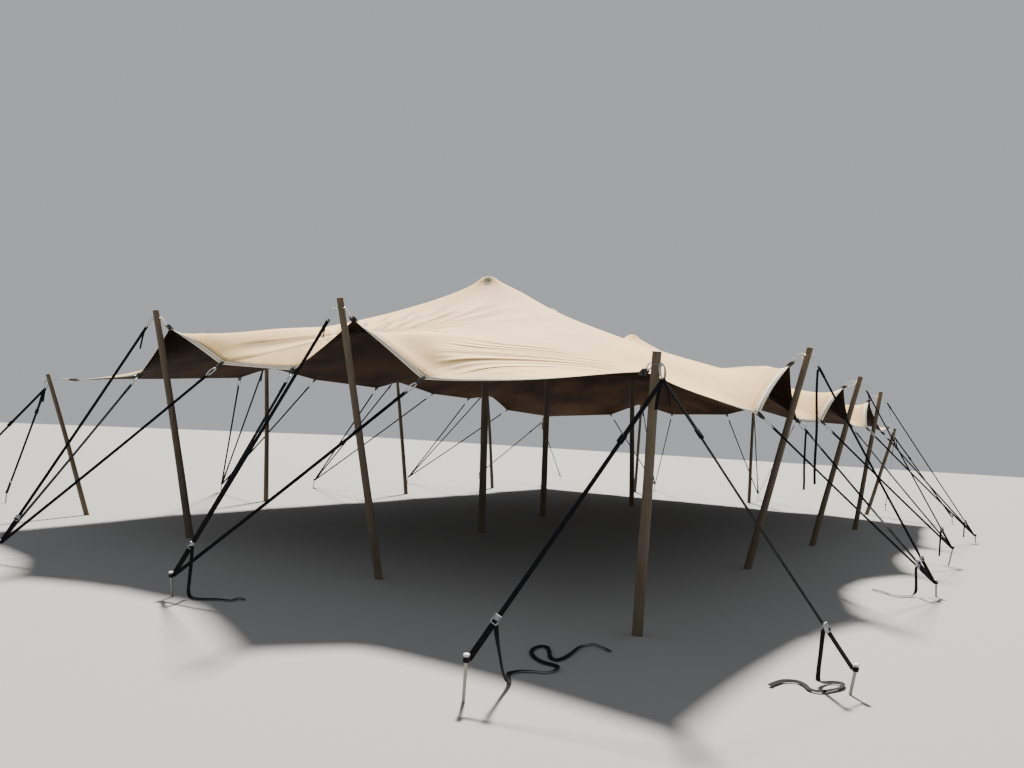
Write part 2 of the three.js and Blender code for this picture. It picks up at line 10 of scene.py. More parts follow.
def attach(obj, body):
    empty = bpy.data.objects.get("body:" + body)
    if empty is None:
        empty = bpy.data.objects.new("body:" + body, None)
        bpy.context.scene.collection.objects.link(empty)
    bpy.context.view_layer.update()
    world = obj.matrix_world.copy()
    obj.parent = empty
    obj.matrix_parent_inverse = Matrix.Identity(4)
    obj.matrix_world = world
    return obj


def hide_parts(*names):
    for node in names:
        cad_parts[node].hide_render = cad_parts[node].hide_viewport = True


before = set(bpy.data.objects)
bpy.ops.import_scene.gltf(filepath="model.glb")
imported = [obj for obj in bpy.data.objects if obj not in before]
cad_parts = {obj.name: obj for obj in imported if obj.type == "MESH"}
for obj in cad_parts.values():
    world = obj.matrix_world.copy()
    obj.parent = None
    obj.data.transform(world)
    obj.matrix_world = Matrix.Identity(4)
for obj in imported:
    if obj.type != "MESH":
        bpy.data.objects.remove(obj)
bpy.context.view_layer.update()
up = Vector((0, 0, 1))


# ---- camera and stage
camera = {
    "place": (-13.751, -7.386, 1.598),
    "right": (0.5115, -0.8577, 0.0532),
    "forward": (0.8552, 0.5141, 0.0655),
    "sensor": 36.0,
    "lens": 27.04,
}
stage = {
    "floorSize": 160.0,
    "floorColour": (0.27, 0.265, 0.255),
    "skyColour": (0.84, 0.87, 0.92),
    "skyStrength": 0.50,
    "sunTowards": (-0.61, -0.33, -0.72),
    "sunStrength": 16.8,
    "sunAngle": 5.0,
}


def makeCamera():
    data = bpy.data.cameras.new("camera")
    data.sensor_width = camera["sensor"]
    data.lens = camera["lens"]
    data.clip_end = 400
    forward = Vector(camera["forward"]).normalized()
    right = Vector(camera["right"])
    right = (right - forward * right.dot(forward)).normalized()
    upwards = right.cross(forward)
    obj = bpy.data.objects.new("camera", data)
    obj.matrix_world = Matrix((
        (right.x, upwards.x, -forward.x, camera["place"][0]),
        (right.y, upwards.y, -forward.y, camera["place"][1]),
        (right.z, upwards.z, -forward.z, camera["place"][2]),
        (0, 0, 0, 1),
    ))
    bpy.context.collection.objects.link(obj)
    bpy.context.scene.camera = obj


def makeStage():
    world = bpy.data.worlds.new("studio")
    world.use_nodes = True
    background = world.node_tree.nodes["Background"]
    background.inputs["Color"].default_value = (*stage["skyColour"], 1)
    background.inputs["Strength"].default_value = stage["skyStrength"]
    bpy.context.scene.world = world

    sun = bpy.data.lights.new("sun", "SUN")
    sun.energy = stage["sunStrength"]
    sun.angle = math.radians(stage["sunAngle"])
    sun.color = (1.0, 0.95, 0.87)
    lamp = bpy.data.objects.new("sun", sun)
    lamp.rotation_euler = Vector(stage["sunTowards"]).to_track_quat("-Z", "Y").to_euler()
    bpy.context.collection.objects.link(lamp)

    bm = bmesh.new()
    bmesh.ops.create_grid(bm, x_segments=1, y_segments=1, size=stage["floorSize"] / 2)
    mesh = bpy.data.meshes.new("floor")
    bm.to_mesh(mesh)
    bm.free()
    floor = bpy.data.objects.new("floor", mesh)
    bpy.context.collection.objects.link(floor)
    material = bpy.data.materials.new("floor")
    material.use_nodes = True
    shader = material.node_tree.nodes["Principled BSDF"]
    shader.inputs["Base Color"].default_value = (*stage["floorColour"], 1)
    shader.inputs["Roughness"].default_value = 0.95
    mesh.materials.append(material)


makeCamera()
makeStage()
print("camera and stage")


# ---- places, in metres, on the tent's own level ground
# a stake is its head's place and, where it leans, how far its foot lies from under the head
cornerPoles = {
    "front_right": {
        "foot": (-7.61, -5.03, 0), "top": (-7.96, -5.23, 2.32), "sheet": (-7.70, -5.03, 2.18),
        "stakes": [(-9.856, -4.831, 0.292, 0.014, 0.014), (-8.077, -6.75, 0.21, -0.006, 0.037)],
    },
    "front_left": {
        "foot": (-6.74, 4.40, 0), "top": (-7.39, 4.65, 2.14), "sheet": (-7.20, 4.27, 2.07),
        "stakes": [(-8.70, 4.90, 0.22), (-6.90, 6.50, 0.22)],
    },
    "back_right": {
        "foot": (8.51, -5.03, 0), "top": (8.79, -5.64, 2.29), "sheet": (8.35, -5.51, 2.29),
        "stakes": [(8.01, -6.99, 0.22), (10.60, -5.30, 0.22)],
    },
    "back_left": {
        "foot": (9.18, 4.94, 0), "top": (9.53, 5.26, 2.30), "sheet": (9.20, 4.92, 2.27),
        "stakes": [(11.49, 5.52, 0.22), (9.10, 7.50, 0.22)],
    },
}
sidePoles = {
    "right_1": {
        "foot": (-3.28, -4.86, 0), "top": (-3.52, -5.61, 2.90), "high": (-3.37, -5.34, 2.695),
        "lows": [(-4.95, -5.34, 1.97), (-2.19, -5.23, 2.025)], "stake": (-3.51, -7.05, 0.20),
    },
    "right_2": {
        "foot": (0.16, -5.09, 0), "top": (0.06, -5.79, 2.86), "high": (0.31, -5.50, 2.70),
        "lows": [(-1.02, -5.38, 2.05), (1.40, -5.48, 2.095)], "stake": (-0.446, -7.168, 0.309, -0.015, 0.064),
    },
    "right_3": {
        "foot": (3.91, -5.30, 0), "top": (3.81, -5.75, 2.89), "high": (3.99, -5.50, 2.70),
        "lows": [(2.93, -5.60, 2.09), (5.34, -5.66, 2.08)], "stake": (3.64, -7.46, 0.18),
    },
    "front_1": {
        "foot": (-7.34, -2.02, 0), "top": (-8.09, -1.91, 2.88), "high": (-7.75, -1.80, 2.71),
        "lows": [(-7.60, -2.63, 2.105), (-7.50, -0.69, 2.20)], "stake": (-9.32, -1.295, 0.227, 0.026, -0.015),
    },
    "front_2": {
        "foot": (-7.03, 1.51, 0), "top": (-7.77, 1.56, 2.94), "high": (-7.50, 1.63, 2.75),
        "lows": [(-7.55, 0.51, 2.265), (-7.45, 2.28, 2.13)], "stake": (-9.452, 1.389, 0.213, 0.007, 0.015),
    },
    "left_1": {
        "foot": (-2.84, 4.80, 0), "top": (-2.74, 5.20, 2.90), "high": (-2.88, 4.93, 2.70),
        "lows": [(-3.63, 4.90, 2.42), (-1.60, 4.93, 2.56)], "stake": (-2.37, 6.76, 0.22),
    },
    "left_2": {
        "foot": (1.34, 4.56, 0), "top": (1.44, 5.16, 2.93), "high": (1.16, 4.90, 2.75),
        "lows": [(0.40, 4.90, 2.54), (2.64, 4.90, 2.56)], "stake": (0.60, 6.95, 0.22),
    },
    "left_3": {
        "foot": (5.56, 4.71, 0), "top": (5.76, 5.21, 2.93), "high": (5.53, 4.92, 2.71),
        "lows": [(4.36, 4.90, 2.55), (6.50, 4.92, 2.34)], "stake": (4.40, 6.95, 0.22),
    },
    "back_1": {
        "foot": (8.93, -1.90, 0), "top": (9.43, -1.82, 2.93), "high": (9.13, -1.90, 2.74),
        "lows": [(9.20, -3.10, 2.42), (9.20, -1.10, 2.53)], "stake": (10.88, -1.70, 0.22),
    },
    "back_2": {
        "foot": (9.25, 1.72, 0), "top": (9.75, 1.82, 2.93), "high": (9.45, 1.74, 2.79),
        "lows": [(9.23, 0.60, 2.48), (9.23, 2.65, 2.41)], "stake": (11.25, 1.80, 0.22),
    },
}
kingPoles = {
    "front": {"foot": (-3.16, -0.59, 0), "peak": (-3.18, -0.47, 4.19)},
    "middle": {"foot": (0, 0, 0), "peak": (-0.02, 0.055, 4.21)},
    "back": {"foot": (4.22, -0.20, 0), "peak": (4.135, -0.06, 4.25)},
}


# ---- making pieces
def newPiece():
    bm = bmesh.new()
    bm.verts.layers.float_vector.new("grain")
    return bm


def markGrain(bm, verts, run=0.0):  # the piece's own coordinates, for patterns that follow it
    layer = bm.verts.layers.float_vector["grain"]
    for vert in verts:
        vert[layer] = vert.co + up * run


def paint(faces, slot):
    for face in faces:
        face.material_index = slot


def facesOf(verts):
    return {face for vert in verts for face in vert.link_faces}


def addBlock(bm, place, size, bevel=0.002, slot=0):
    verts = bmesh.ops.create_cube(bm, size=1.0)["verts"]
    bmesh.ops.scale(bm, vec=size, verts=verts)
    if bevel:
        edges = list({edge for vert in verts for edge in vert.link_edges})
        made = bmesh.ops.bevel(
            bm, geom=edges, offset=bevel, offset_type="OFFSET", segments=2, affect="EDGES",
            profile=0.5, material=-1,
        )
        verts = made["verts"]
    markGrain(bm, verts)
    paint(facesOf(verts), slot)
    bmesh.ops.transform(bm, matrix=place, verts=verts)


def addRod(bm, start, end, radius, sides=12, slot=0, endRadius=None):
    place, length = placeAlong(start, end)
    verts = bmesh.ops.create_cone(
        bm, cap_ends=True, segments=sides, radius1=radius, radius2=endRadius or radius, depth=length,
    )["verts"]
    markGrain(bm, verts)
    paint(facesOf(verts), slot)
    bmesh.ops.transform(bm, matrix=place, verts=verts)


def addTurned(bm, profile, place, sides=24, slot=0):  # profile of (radius, height), from axis to axis
    verts = [bm.verts.new((radius, 0, height)) for radius, height in profile]
    edges = [bm.edges.new(pair) for pair in zip(verts, verts[1:])]
    made = bmesh.ops.spin(
        bm, geom=verts + edges, cent=(0, 0, 0), axis=(0, 0, 1), dvec=(0, 0, 0),
        angle=2 * math.pi, steps=sides, use_merge=True, use_normal_flip=False, use_duplicate=False,
    )
    spun = {v for v in made["geom_last"] if isinstance(v, bmesh.types.BMVert)}
    found = set(verts) | spun
    edge = set(found)
    while edge:  # every vertex joined to the profile belongs to the turned piece
        edge = {e.other_vert(v) for v in edge for e in v.link_edges} - found
        found |= edge
    bmesh.ops.remove_doubles(bm, verts=list(found), dist=1e-5)
    found = [v for v in found if v.is_valid]
    markGrain(bm, found)
    paint(facesOf(found), slot)
    bmesh.ops.transform(bm, matrix=place, verts=found)


def placeAlong(start, end, facing=up):  # local Z runs from start to end, local X lies level
    start, end = Vector(start), Vector(end)
    along = (end - start).normalized()
    across = along.cross(facing)
    across = across.normalized() if across.length > 1e-4 else Vector((1, 0, 0))
    face = along.cross(across)
    turn = Matrix((across, face, along)).transposed().to_4x4()
    return Matrix.Translation((start + end) / 2) @ turn, (end - start).length


def addSweep(bm, frames, runs, width, thickness=None, sides=12, slot=0):
    if thickness is None:
        verts = bmesh.ops.create_circle(bm, cap_ends=True, segments=sides, radius=width / 2)["verts"]
    else:
        verts = bmesh.ops.create_grid(bm, x_segments=1, y_segments=1, size=0.5)["verts"]
        bmesh.ops.scale(bm, vec=(width, thickness, 1), verts=verts)
    markGrain(bm, verts, runs[0])
    layer = bm.verts.layers.float_vector["grain"]
    faces = list(facesOf(verts))
    paint(faces, slot)
    bmesh.ops.transform(bm, matrix=frames[0], verts=verts)
    for k in range(1, len(frames)):
        made = bmesh.ops.extrude_face_region(bm, geom=faces)["geom"]
        verts = [item for item in made if isinstance(item, bmesh.types.BMVert)]
        faces = [item for item in made if isinstance(item, bmesh.types.BMFace)]
        step = frames[k] @ frames[k - 1].inverted()
        bmesh.ops.transform(bm, matrix=step, verts=verts)
        for vert in verts:
            vert[layer] = (vert[layer][0], vert[layer][1], runs[k])


def framesAlong(points, across=None, tilt=None):  # one frame at each point, turned as little as it can be
    points = [Vector(p) for p in points]
    runs = [0.0]
    for a, b in zip(points, points[1:]):
        runs.append(runs[-1] + (b - a).length)
    frames = []
    side = Vector(across) if across is not None else None
    for k, here in enumerate(points):
        along = (points[min(k + 1, len(points) - 1)] - points[max(k - 1, 0)]).normalized()
        level = along.cross(up)
        if side is None:
            side = level.normalized() if level.length > 1e-3 else Vector((1, 0, 0))
        if level.length > 1e-3 and level.dot(side) < 0:
            level.negate()
        side = side - along * side.dot(along)
        side = (side.normalized() + level * 0.6).normalized()
        face = along.cross(side)
        turn = Matrix((side, face, along)).transposed().to_4x4()
        if tilt is not None:
            turn = turn @ Matrix.Rotation(tilt(runs[k]), 4, "Z")
        frames.append(Matrix.Translation(here) @ turn)
    return frames, runs


def splinePoints(points, perSpan=6):  # a smooth run through every point
    points = [Vector(p) for p in points]
    first = points[0] * 2 - points[1]
    last = points[-1] * 2 - points[-2]
    held = [first] + points + [last]
    found = []
    for a, b, c, d in zip(held, held[1:], held[2:], held[3:]):
        for n in range(perSpan):
            t = n / perSpan
            found.append(0.5 * (
                2 * b + (c - a) * t + (2 * a - 5 * b + 4 * c - d) * t * t
                + (3 * b - 3 * c + d - a) * t * t * t
            ))
    found.append(points[-1])
    return found


def finishPiece(name, bm, materials, smooth=True, stands=(), recalc=True):
    if recalc:
        bmesh.ops.recalc_face_normals(bm, faces=bm.faces[:])
    mesh = bpy.data.meshes.new(name)
    bm.to_mesh(mesh)
    bm.free()
    for material in materials:
        mesh.materials.append(material)
    if smooth:
        mesh.shade_smooth()
        mesh.set_sharp_from_angle(angle=math.radians(35))
    obj = bpy.data.objects.new(name, mesh)
    bpy.context.collection.objects.link(obj)
    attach(obj, "root")
    if stands:
        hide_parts(*stands)
    return obj


# ---- shared effects
def newGroup(name, inputs, outputs):
    group = bpy.data.node_groups.new(name, "ShaderNodeTree")
    for label, kind, value in inputs:
        socket = group.interface.new_socket(name=label, in_out="INPUT", socket_type=kind)
        if value is not None:
            socket.default_value = value
    for label, kind in outputs:
        group.interface.new_socket(name=label, in_out="OUTPUT", socket_type=kind)
    enter = group.nodes.new("NodeGroupInput")
    leave = group.nodes.new("NodeGroupOutput")
    return group, enter, leave


def addNode(tree, kind, settings=None, **inputs):
    node = tree.nodes.new(kind)
    for key, value in (settings or {}).items():
        setattr(node, key, value)
    for key, value in inputs.items():
        plug = node.inputs[int(key[1:])] if key[0] == "i" and key[1:].isdigit() else node.inputs[key]
        if isinstance(value, bpy.types.NodeSocket):
            tree.links.new(value, plug)
        else:
            plug.default_value = value
    return node


def addMath(tree, operation, first, second=0.0, clamp=False):
    node = addNode(tree, "ShaderNodeMath", {"operation": operation, "use_clamp": clamp}, i0=first, i1=second)
    return node.outputs[0]


def addMix(tree, share, first, second, blend="MIX"):
    node = tree.nodes.new("ShaderNodeMix")
    node.data_type = "RGBA"
    node.blend_type = blend
    for plug, value in ((node.inputs[0], share), (node.inputs[6], first), (node.inputs[7], second)):
        if isinstance(value, bpy.types.NodeSocket):
            tree.links.new(value, plug)
        else:
            plug.default_value = (*value, 1) if isinstance(value, tuple) else value
    return node.outputs[2]


def addRamp(tree, factor, low, high):  # 0 below low, 1 above high
    node = addNode(tree, "ShaderNodeMapRange", {"interpolation_type": "SMOOTHSTEP"}, Value=factor)
    node.inputs["From Min"].default_value = low
    node.inputs["From Max"].default_value = high
    return node.outputs["Result"]


def makeTimberGroup():  # long fibres, knots and drying cracks along the pole
    group, enter, leave = newGroup(
        "timberFigure",
        [("Grain", "NodeSocketVector", None), ("Fibre", "NodeSocketFloat", 60.0),
         ("Knots", "NodeSocketFloat", 2.2), ("Cracks", "NodeSocketFloat", 7.0)],
        [("Fibre", "NodeSocketFloat"), ("Knot", "NodeSocketFloat"), ("Crack", "NodeSocketFloat"),
         ("Blotch", "NodeSocketFloat")],
    )
    grain = enter.outputs["Grain"]
    wander = addNode(group, "ShaderNodeTexNoise", Vector=grain, Scale=1.3, Detail=2.0)
    shift = addNode(group, "ShaderNodeVectorMath", {"operation": "SCALE"}, i0=wander.outputs["Color"])
    shift.inputs["Scale"].default_value = 0.05
    bent = addNode(group, "ShaderNodeVectorMath", {"operation": "ADD"}, i0=grain, i1=shift.outputs[0])
    long = addNode(group, "ShaderNodeMapping", Vector=bent.outputs[0], Scale=(1.0, 1.0, 0.05))
    fibre = addNode(
        group, "ShaderNodeTexNoise", Vector=long.outputs[0], Scale=enter.outputs["Fibre"], Detail=5.0,
        Roughness=0.62,
    )
    spots = addNode(group, "ShaderNodeMapping", Vector=grain, Scale=(1.0, 1.0, 0.55))
    knots = addNode(group, "ShaderNodeTexVoronoi", Vector=spots.outputs[0], Scale=enter.outputs["Knots"])
    knot = addRamp(group, knots.outputs["Distance"], 0.075, 0.02)
    split = addNode(group, "ShaderNodeMapping", Vector=bent.outputs[0], Scale=(1.0, 1.0, 0.06))
    cracks = addNode(
        group, "ShaderNodeTexVoronoi", {"feature": "DISTANCE_TO_EDGE"}, Vector=split.outputs[0],
        Scale=enter.outputs["Cracks"],
    )
    thin = addRamp(group, cracks.outputs["Distance"], 0.022, 0.006)
    some = addNode(group, "ShaderNodeTexNoise", Vector=grain, Scale=2.1, Detail=1.0)
    crack = addMath(group, "MULTIPLY", thin, addRamp(group, some.outputs["Fac"], 0.5, 0.62))
    blotch = addNode(group, "ShaderNodeTexNoise", Vector=grain, Scale=3.4, Detail=3.0)
    for label, value in (("Fibre", fibre.outputs["Fac"]), ("Knot", knot), ("Crack", crack),
                         ("Blotch", blotch.outputs["Fac"])):
        group.links.new(value, leave.inputs[label])
    return group


def makeWeaveGroup():  # ribs across and along a woven or knitted surface
    group, enter, leave = newGroup(
        "weave",
        [("Grain", "NodeSocketVector", None), ("Across", "NodeSocketFloat", 900.0),
         ("Along", "NodeSocketFloat", 600.0)],
        [("Height", "NodeSocketFloat")],
    )
    parts = addNode(group, "ShaderNodeSeparateXYZ", Vector=enter.outputs["Grain"])
    waves = []
    for axis, label in (("X", "Across"), ("Z", "Along")):
        turns = addMath(group, "MULTIPLY", parts.outputs[axis], enter.outputs[label])
        waves.append(addMath(group, "SINE", turns))
    group.links.new(addMath(group, "MULTIPLY", waves[0], waves[1]), leave.inputs["Height"])
    return group


def makeDustGroup():  # patchy dirt that gathers towards the ground
    group, enter, leave = newGroup(
        "dust",
        [("Place", "NodeSocketVector", None), ("Reach", "NodeSocketFloat", 0.5), ("Scale", "NodeSocketFloat", 9.0)],
        [("Dust", "NodeSocketFloat")],
    )
    parts = addNode(group, "ShaderNodeSeparateXYZ", Vector=enter.outputs["Place"])
    share = addMath(group, "DIVIDE", parts.outputs["Z"], enter.outputs["Reach"])
    near = addMath(group, "SUBTRACT", 1.0, share, clamp=True)
    patches = addNode(
        group, "ShaderNodeTexNoise", Vector=enter.outputs["Place"], Scale=enter.outputs["Scale"], Detail=4.0,
    )
    group.links.new(addMath(group, "MULTIPLY", near, patches.outputs["Fac"]), leave.inputs["Dust"])
    return group


timberFigure = makeTimberGroup()
weave = makeWeaveGroup()
dust = makeDustGroup()


def newMaterial(name):
    material = bpy.data.materials.new(name)
    material.use_nodes = True
    tree = material.node_tree
    shader = tree.nodes["Principled BSDF"]
    grain = addNode(tree, "ShaderNodeAttribute", {"attribute_name": "grain"}).outputs["Vector"]
    place = addNode(tree, "ShaderNodeTexCoord").outputs["Object"]
    return material, tree, shader, grain, place


def placeGroup(tree, group, **inputs):
    node = tree.nodes.new("ShaderNodeGroup")
    node.node_tree = group
    for key, value in inputs.items():
        if isinstance(value, bpy.types.NodeSocket):
            tree.links.new(value, node.inputs[key])
        else:
            node.inputs[key].default_value = value
    return node


def setColour(tree, shader, colour):
    tree.links.new(colour, shader.inputs["Base Color"])


def setBump(tree, shader, height, strength, distance):
    bump = addNode(tree, "ShaderNodeBump", Height=height, Strength=strength, Distance=distance)
    tree.links.new(bump.outputs[0], shader.inputs["Normal"])


def makeTimber(name, pale, dark, knotColour, greying):
    material, tree, shader, grain, place = newMaterial(name)
    figure = placeGroup(tree, timberFigure, Grain=grain, Fibre=70.0, Knots=2.4, Cracks=8.0)
    colour = addMix(tree, figure.outputs["Fibre"], dark, pale)
    patches = addRamp(tree, figure.outputs["Blotch"], 0.42, 0.68)
    colour = addMix(tree, addMath(tree, "MULTIPLY", patches, 0.5), colour, greying)
    colour = addMix(tree, addMath(tree, "MULTIPLY", figure.outputs["Knot"], 0.75), colour, knotColour)
    colour = addMix(tree, addMath(tree, "MULTIPLY", figure.outputs["Crack"], 0.9), colour, (0.05, 0.032, 0.02))
    soil = placeGroup(tree, dust, Place=place, Reach=0.35, Scale=14.0)
    colour = addMix(tree, addMath(tree, "MULTIPLY", soil.outputs[0], 0.7), colour, (0.19, 0.14, 0.085))
    setColour(tree, shader, colour)
    shader.inputs["Roughness"].default_value = 0.78
    relief = addMath(tree, "SUBTRACT", figure.outputs["Fibre"], figure.outputs["Crack"])
    setBump(tree, shader, relief, 0.55, 0.004)
    return material


def makeCutEnd():  # sawn pole top with growth rings
    material, tree, shader, grain, place = newMaterial("timberEnd")
    parts = addNode(tree, "ShaderNodeSeparateXYZ", Vector=grain)
    flat = addNode(tree, "ShaderNodeCombineXYZ", X=parts.outputs["X"], Y=parts.outputs["Y"])
    rings = addNode(
        tree, "ShaderNodeTexWave", {"wave_type": "RINGS", "rings_direction": "Z"}, Vector=flat.outputs[0],
        Scale=55.0, Distortion=1.5, Detail=2.0,
    )
    colour = addMix(tree, rings.outputs["Fac"], (0.34, 0.25, 0.155), (0.47, 0.37, 0.245))
    setColour(tree, shader, colour)
    shader.inputs["Roughness"].default_value = 0.85
    setBump(tree, shader, rings.outputs["Fac"], 0.3, 0.001)
    return material


def makeWebbing():
    material, tree, shader, grain, place = newMaterial("blackWebbing")
    ribs = placeGroup(tree, weave, Grain=grain, Across=1900.0, Along=2400.0)
    worn = addNode(tree, "ShaderNodeTexNoise", Vector=grain, Scale=24.0, Detail=3.0)
    colour = addMix(tree, addRamp(tree, worn.outputs["Fac"], 0.35, 0.75), (0.006, 0.0065, 0.008), (0.014, 0.0145, 0.017))
    soil = placeGroup(tree, dust, Place=place, Reach=0.4, Scale=16.0)
    colour = addMix(tree, addMath(tree, "MULTIPLY", soil.outputs[0], 0.08), colour, (0.10, 0.08, 0.06))
    setColour(tree, shader, colour)
    shader.inputs["Roughness"].default_value = 0.9
    shader.inputs["Specular IOR Level"].default_value = 0.12
    setBump(tree, shader, ribs.outputs[0], 0.5, 0.0006)
    return material


def makeRope():
    material, tree, shader, grain, place = newMaterial("paleRope")
    strands = addNode(
        tree, "ShaderNodeTexWave", {"bands_direction": "DIAGONAL"}, Vector=grain, Scale=90.0, Distortion=0.4,
    )
    grime = addNode(tree, "ShaderNodeTexNoise", Vector=grain, Scale=30.0, Detail=3.0)
    colour = addMix(tree, strands.outputs["Fac"], (0.55, 0.56, 0.58), (0.88, 0.88, 0.88))
    colour = addMix(tree, addMath(tree, "MULTIPLY", grime.outputs["Fac"], 0.25), colour, (0.36, 0.34, 0.31))
    setColour(tree, shader, colour)
    shader.inputs["Roughness"].default_value = 0.6
    setBump(tree, shader, strands.outputs["Fac"], 0.7, 0.002)
    return material


def makeSteel(name, colour, roughness, spots):
    material, tree, shader, grain, place = newMaterial(name)
    marks = addNode(tree, "ShaderNodeTexNoise", Vector=place, Scale=26.0, Detail=5.0)
    rust = addMath(tree, "MULTIPLY", addRamp(tree, marks.outputs["Fac"], 0.56, 0.72), spots)
    tint = addMix(tree, marks.outputs["Fac"], tuple(0.72 * c for c in colour), tuple(min(1, 1.15 * c) for c in colour))
    setColour(tree, shader, addMix(tree, rust, tint, (0.17, 0.085, 0.04)))
    tree.links.new(addMath(tree, "SUBTRACT", 0.9, rust), shader.inputs["Metallic"])
    rough = addMath(tree, "MULTIPLY_ADD", marks.outputs["Fac"], 0.25)
    rough.node.inputs[2].default_value = roughness - 0.1
    tree.links.new(rough, shader.inputs["Roughness"])
    setBump(tree, shader, marks.outputs["Fac"], 0.15, 0.001)
    return material


def makePlain(name, dark, pale, roughness, scale=40.0):
    material, tree, shader, grain, place = newMaterial(name)
    marks = addNode(tree, "ShaderNodeTexNoise", Vector=place, Scale=scale, Detail=4.0)
    setColour(tree, shader, addMix(tree, addRamp(tree, marks.outputs["Fac"], 0.3, 0.72), dark, pale))
    shader.inputs["Roughness"].default_value = roughness
    setBump(tree, shader, marks.outputs["Fac"], 0.25, 0.0012)
    return material


sheetLook = {
    "top": (0.84, 0.562, 0.215),
    "topShade": (0.66, 0.435, 0.165),
    # the fold shade colour is painted shade, laid into the fold valleys of the top
    "paintedFoldShade": (0.34, 0.235, 0.12),
    "hemColour": (0.96, 0.90, 0.76),
    # the underside colours are painted shade: the same cloth as the top laid very dark, its warmer cloudy patches a
    # painted glow of light through the cloth
    "under": (0.019, 0.0115, 0.0078),
    "underPaintedGlow": (0.055, 0.031, 0.0175),
    "hem": 0.070,
    "seams": (0.030, 0.070, 0.110),
    "seamWidth": 0.0045,
    "knit": 1500.0,
    # the cap spot is painted shade: grey patches just below the front and middle peaks, on the side towards the camera
    "capPaintedShade": {"kings": ("front", "middle"), "shifts": (0.05, 0.12, 0.19, 0.26), "towards": (-0.86, -0.51), "radius": 0.070, "colour": (0.07, 0.068, 0.06)},
    "clampFolds": {"count": 5.0, "depth": 0.007, "depthUnder": 0.002},
}
longFolds = [  # centre on the plan, direction in degrees, half spread, folds in a radian, near, far, depth
    {"Centre": (-7.70, -5.03, 0), "Direction": 72.0, "Spread": 30.0, "Count": 14.0, "Near": 0.5, "Far": 2.2, "Depth": 0.05},
    {"Centre": (-7.75, -1.80, 0), "Direction": 24.0, "Spread": 34.0, "Count": 14.0, "Near": 0.35, "Far": 4.2, "Depth": 0.36},
    {"Centre": (-7.50, 1.63, 0), "Direction": -26.0, "Spread": 30.0, "Count": 8.0, "Near": 0.4, "Far": 3.0, "Depth": 0.06},
    {"Centre": (-3.37, -5.34, 0), "Direction": 92.0, "Spread": 30.0, "Count": 8.0, "Near": 0.4, "Far": 3.0, "Depth": 0.05},
]
foldBands = [  # centre on the plan, direction in degrees, half length and half breadth, folds in a metre, depth
    {"Centre": (-6.52, -3.32, 0), "Direction": -47.0, "Length": 1.15, "Breadth": 0.80, "Count": 9.5, "Depth": 0.13},
    {"Centre": (-6.95, 0.08, 0), "Direction": -46.0, "Length": 0.9, "Breadth": 0.30, "Count": 3.6, "Depth": 0.13},
]
puckerLook = {"radius": 0.06, "depth": 0.025}
puckers = [(-6.00, -0.76), (-6.19, -1.12), (-6.35, -1.49), (-6.47, -1.66), (-6.59, -1.99), (-6.54, -2.10), (-6.36, -2.30)]


def makeFoldGroup():  # folds that fan out over the plan from a clamp
    group, enter, leave = newGroup(
        "foldFan",
        [("Place", "NodeSocketVector", None), ("Centre", "NodeSocketVector", None),
         ("Direction", "NodeSocketFloat", 0.0), ("Spread", "NodeSocketFloat", 0.6),
         ("Count", "NodeSocketFloat", 12.0), ("Near", "NodeSocketFloat", 0.3), ("Far", "NodeSocketFloat", 3.0),
         ("Depth", "NodeSocketFloat", 0.02)],
        [("Height", "NodeSocketFloat")],
    )
    away = addNode(
        group, "ShaderNodeVectorMath", {"operation": "SUBTRACT"}, i0=enter.outputs["Place"], i1=enter.outputs["Centre"],
    )
    parts = addNode(group, "ShaderNodeSeparateXYZ", Vector=away.outputs[0])
    level = addNode(group, "ShaderNodeCombineXYZ", X=parts.outputs["X"], Y=parts.outputs["Y"])
    reach = addNode(group, "ShaderNodeVectorMath", {"operation": "LENGTH"}, i0=level.outputs[0]).outputs["Value"]
    turn = addMath(group, "ARCTAN2", parts.outputs["Y"], parts.outputs["X"])
    turn = addNode(
        group, "ShaderNodeMath", {"operation": "WRAP"}, i0=addMath(group, "SUBTRACT", turn, enter.outputs["Direction"]),
        i1=math.pi, i2=-math.pi,
    ).outputs[0]
    streaks = addNode(
        group, "ShaderNodeCombineXYZ", X=addMath(group, "MULTIPLY", turn, enter.outputs["Count"]),
        Y=addMath(group, "MULTIPLY", reach, 0.45),
    )
    folds = addNode(group, "ShaderNodeTexNoise", Vector=streaks.outputs[0], Scale=1.0, Detail=1.5, Roughness=0.4)
    side = addNode(group, "ShaderNodeMapRange", {"interpolation_type": "SMOOTHSTEP"}, Value=addMath(group, "ABSOLUTE", turn))
    group.links.new(enter.outputs["Spread"], side.inputs["From Min"])
    group.links.new(addMath(group, "MULTIPLY", enter.outputs["Spread"], 0.45), side.inputs["From Max"])
    begin = addNode(group, "ShaderNodeMapRange", {"interpolation_type": "SMOOTHSTEP"}, Value=reach)
    group.links.new(addMath(group, "MULTIPLY", enter.outputs["Near"], 0.2), begin.inputs["From Min"])
    group.links.new(enter.outputs["Near"], begin.inputs["From Max"])
    finish = addNode(group, "ShaderNodeMapRange", {"interpolation_type": "SMOOTHSTEP"}, Value=reach)
    group.links.new(enter.outputs["Far"], finish.inputs["From Min"])
    group.links.new(addMath(group, "MULTIPLY", enter.outputs["Far"], 0.4), finish.inputs["From Max"])
    height = addMath(group, "MULTIPLY", side.outputs["Result"], begin.outputs["Result"])
    height = addMath(group, "MULTIPLY", height, finish.outputs["Result"])
    height = addMath(group, "MULTIPLY", height, addMath(group, "SUBTRACT", folds.outputs["Fac"], 0.5))
    group.links.new(addMath(group, "MULTIPLY", height, enter.outputs["Depth"]), leave.inputs["Height"])
    return group


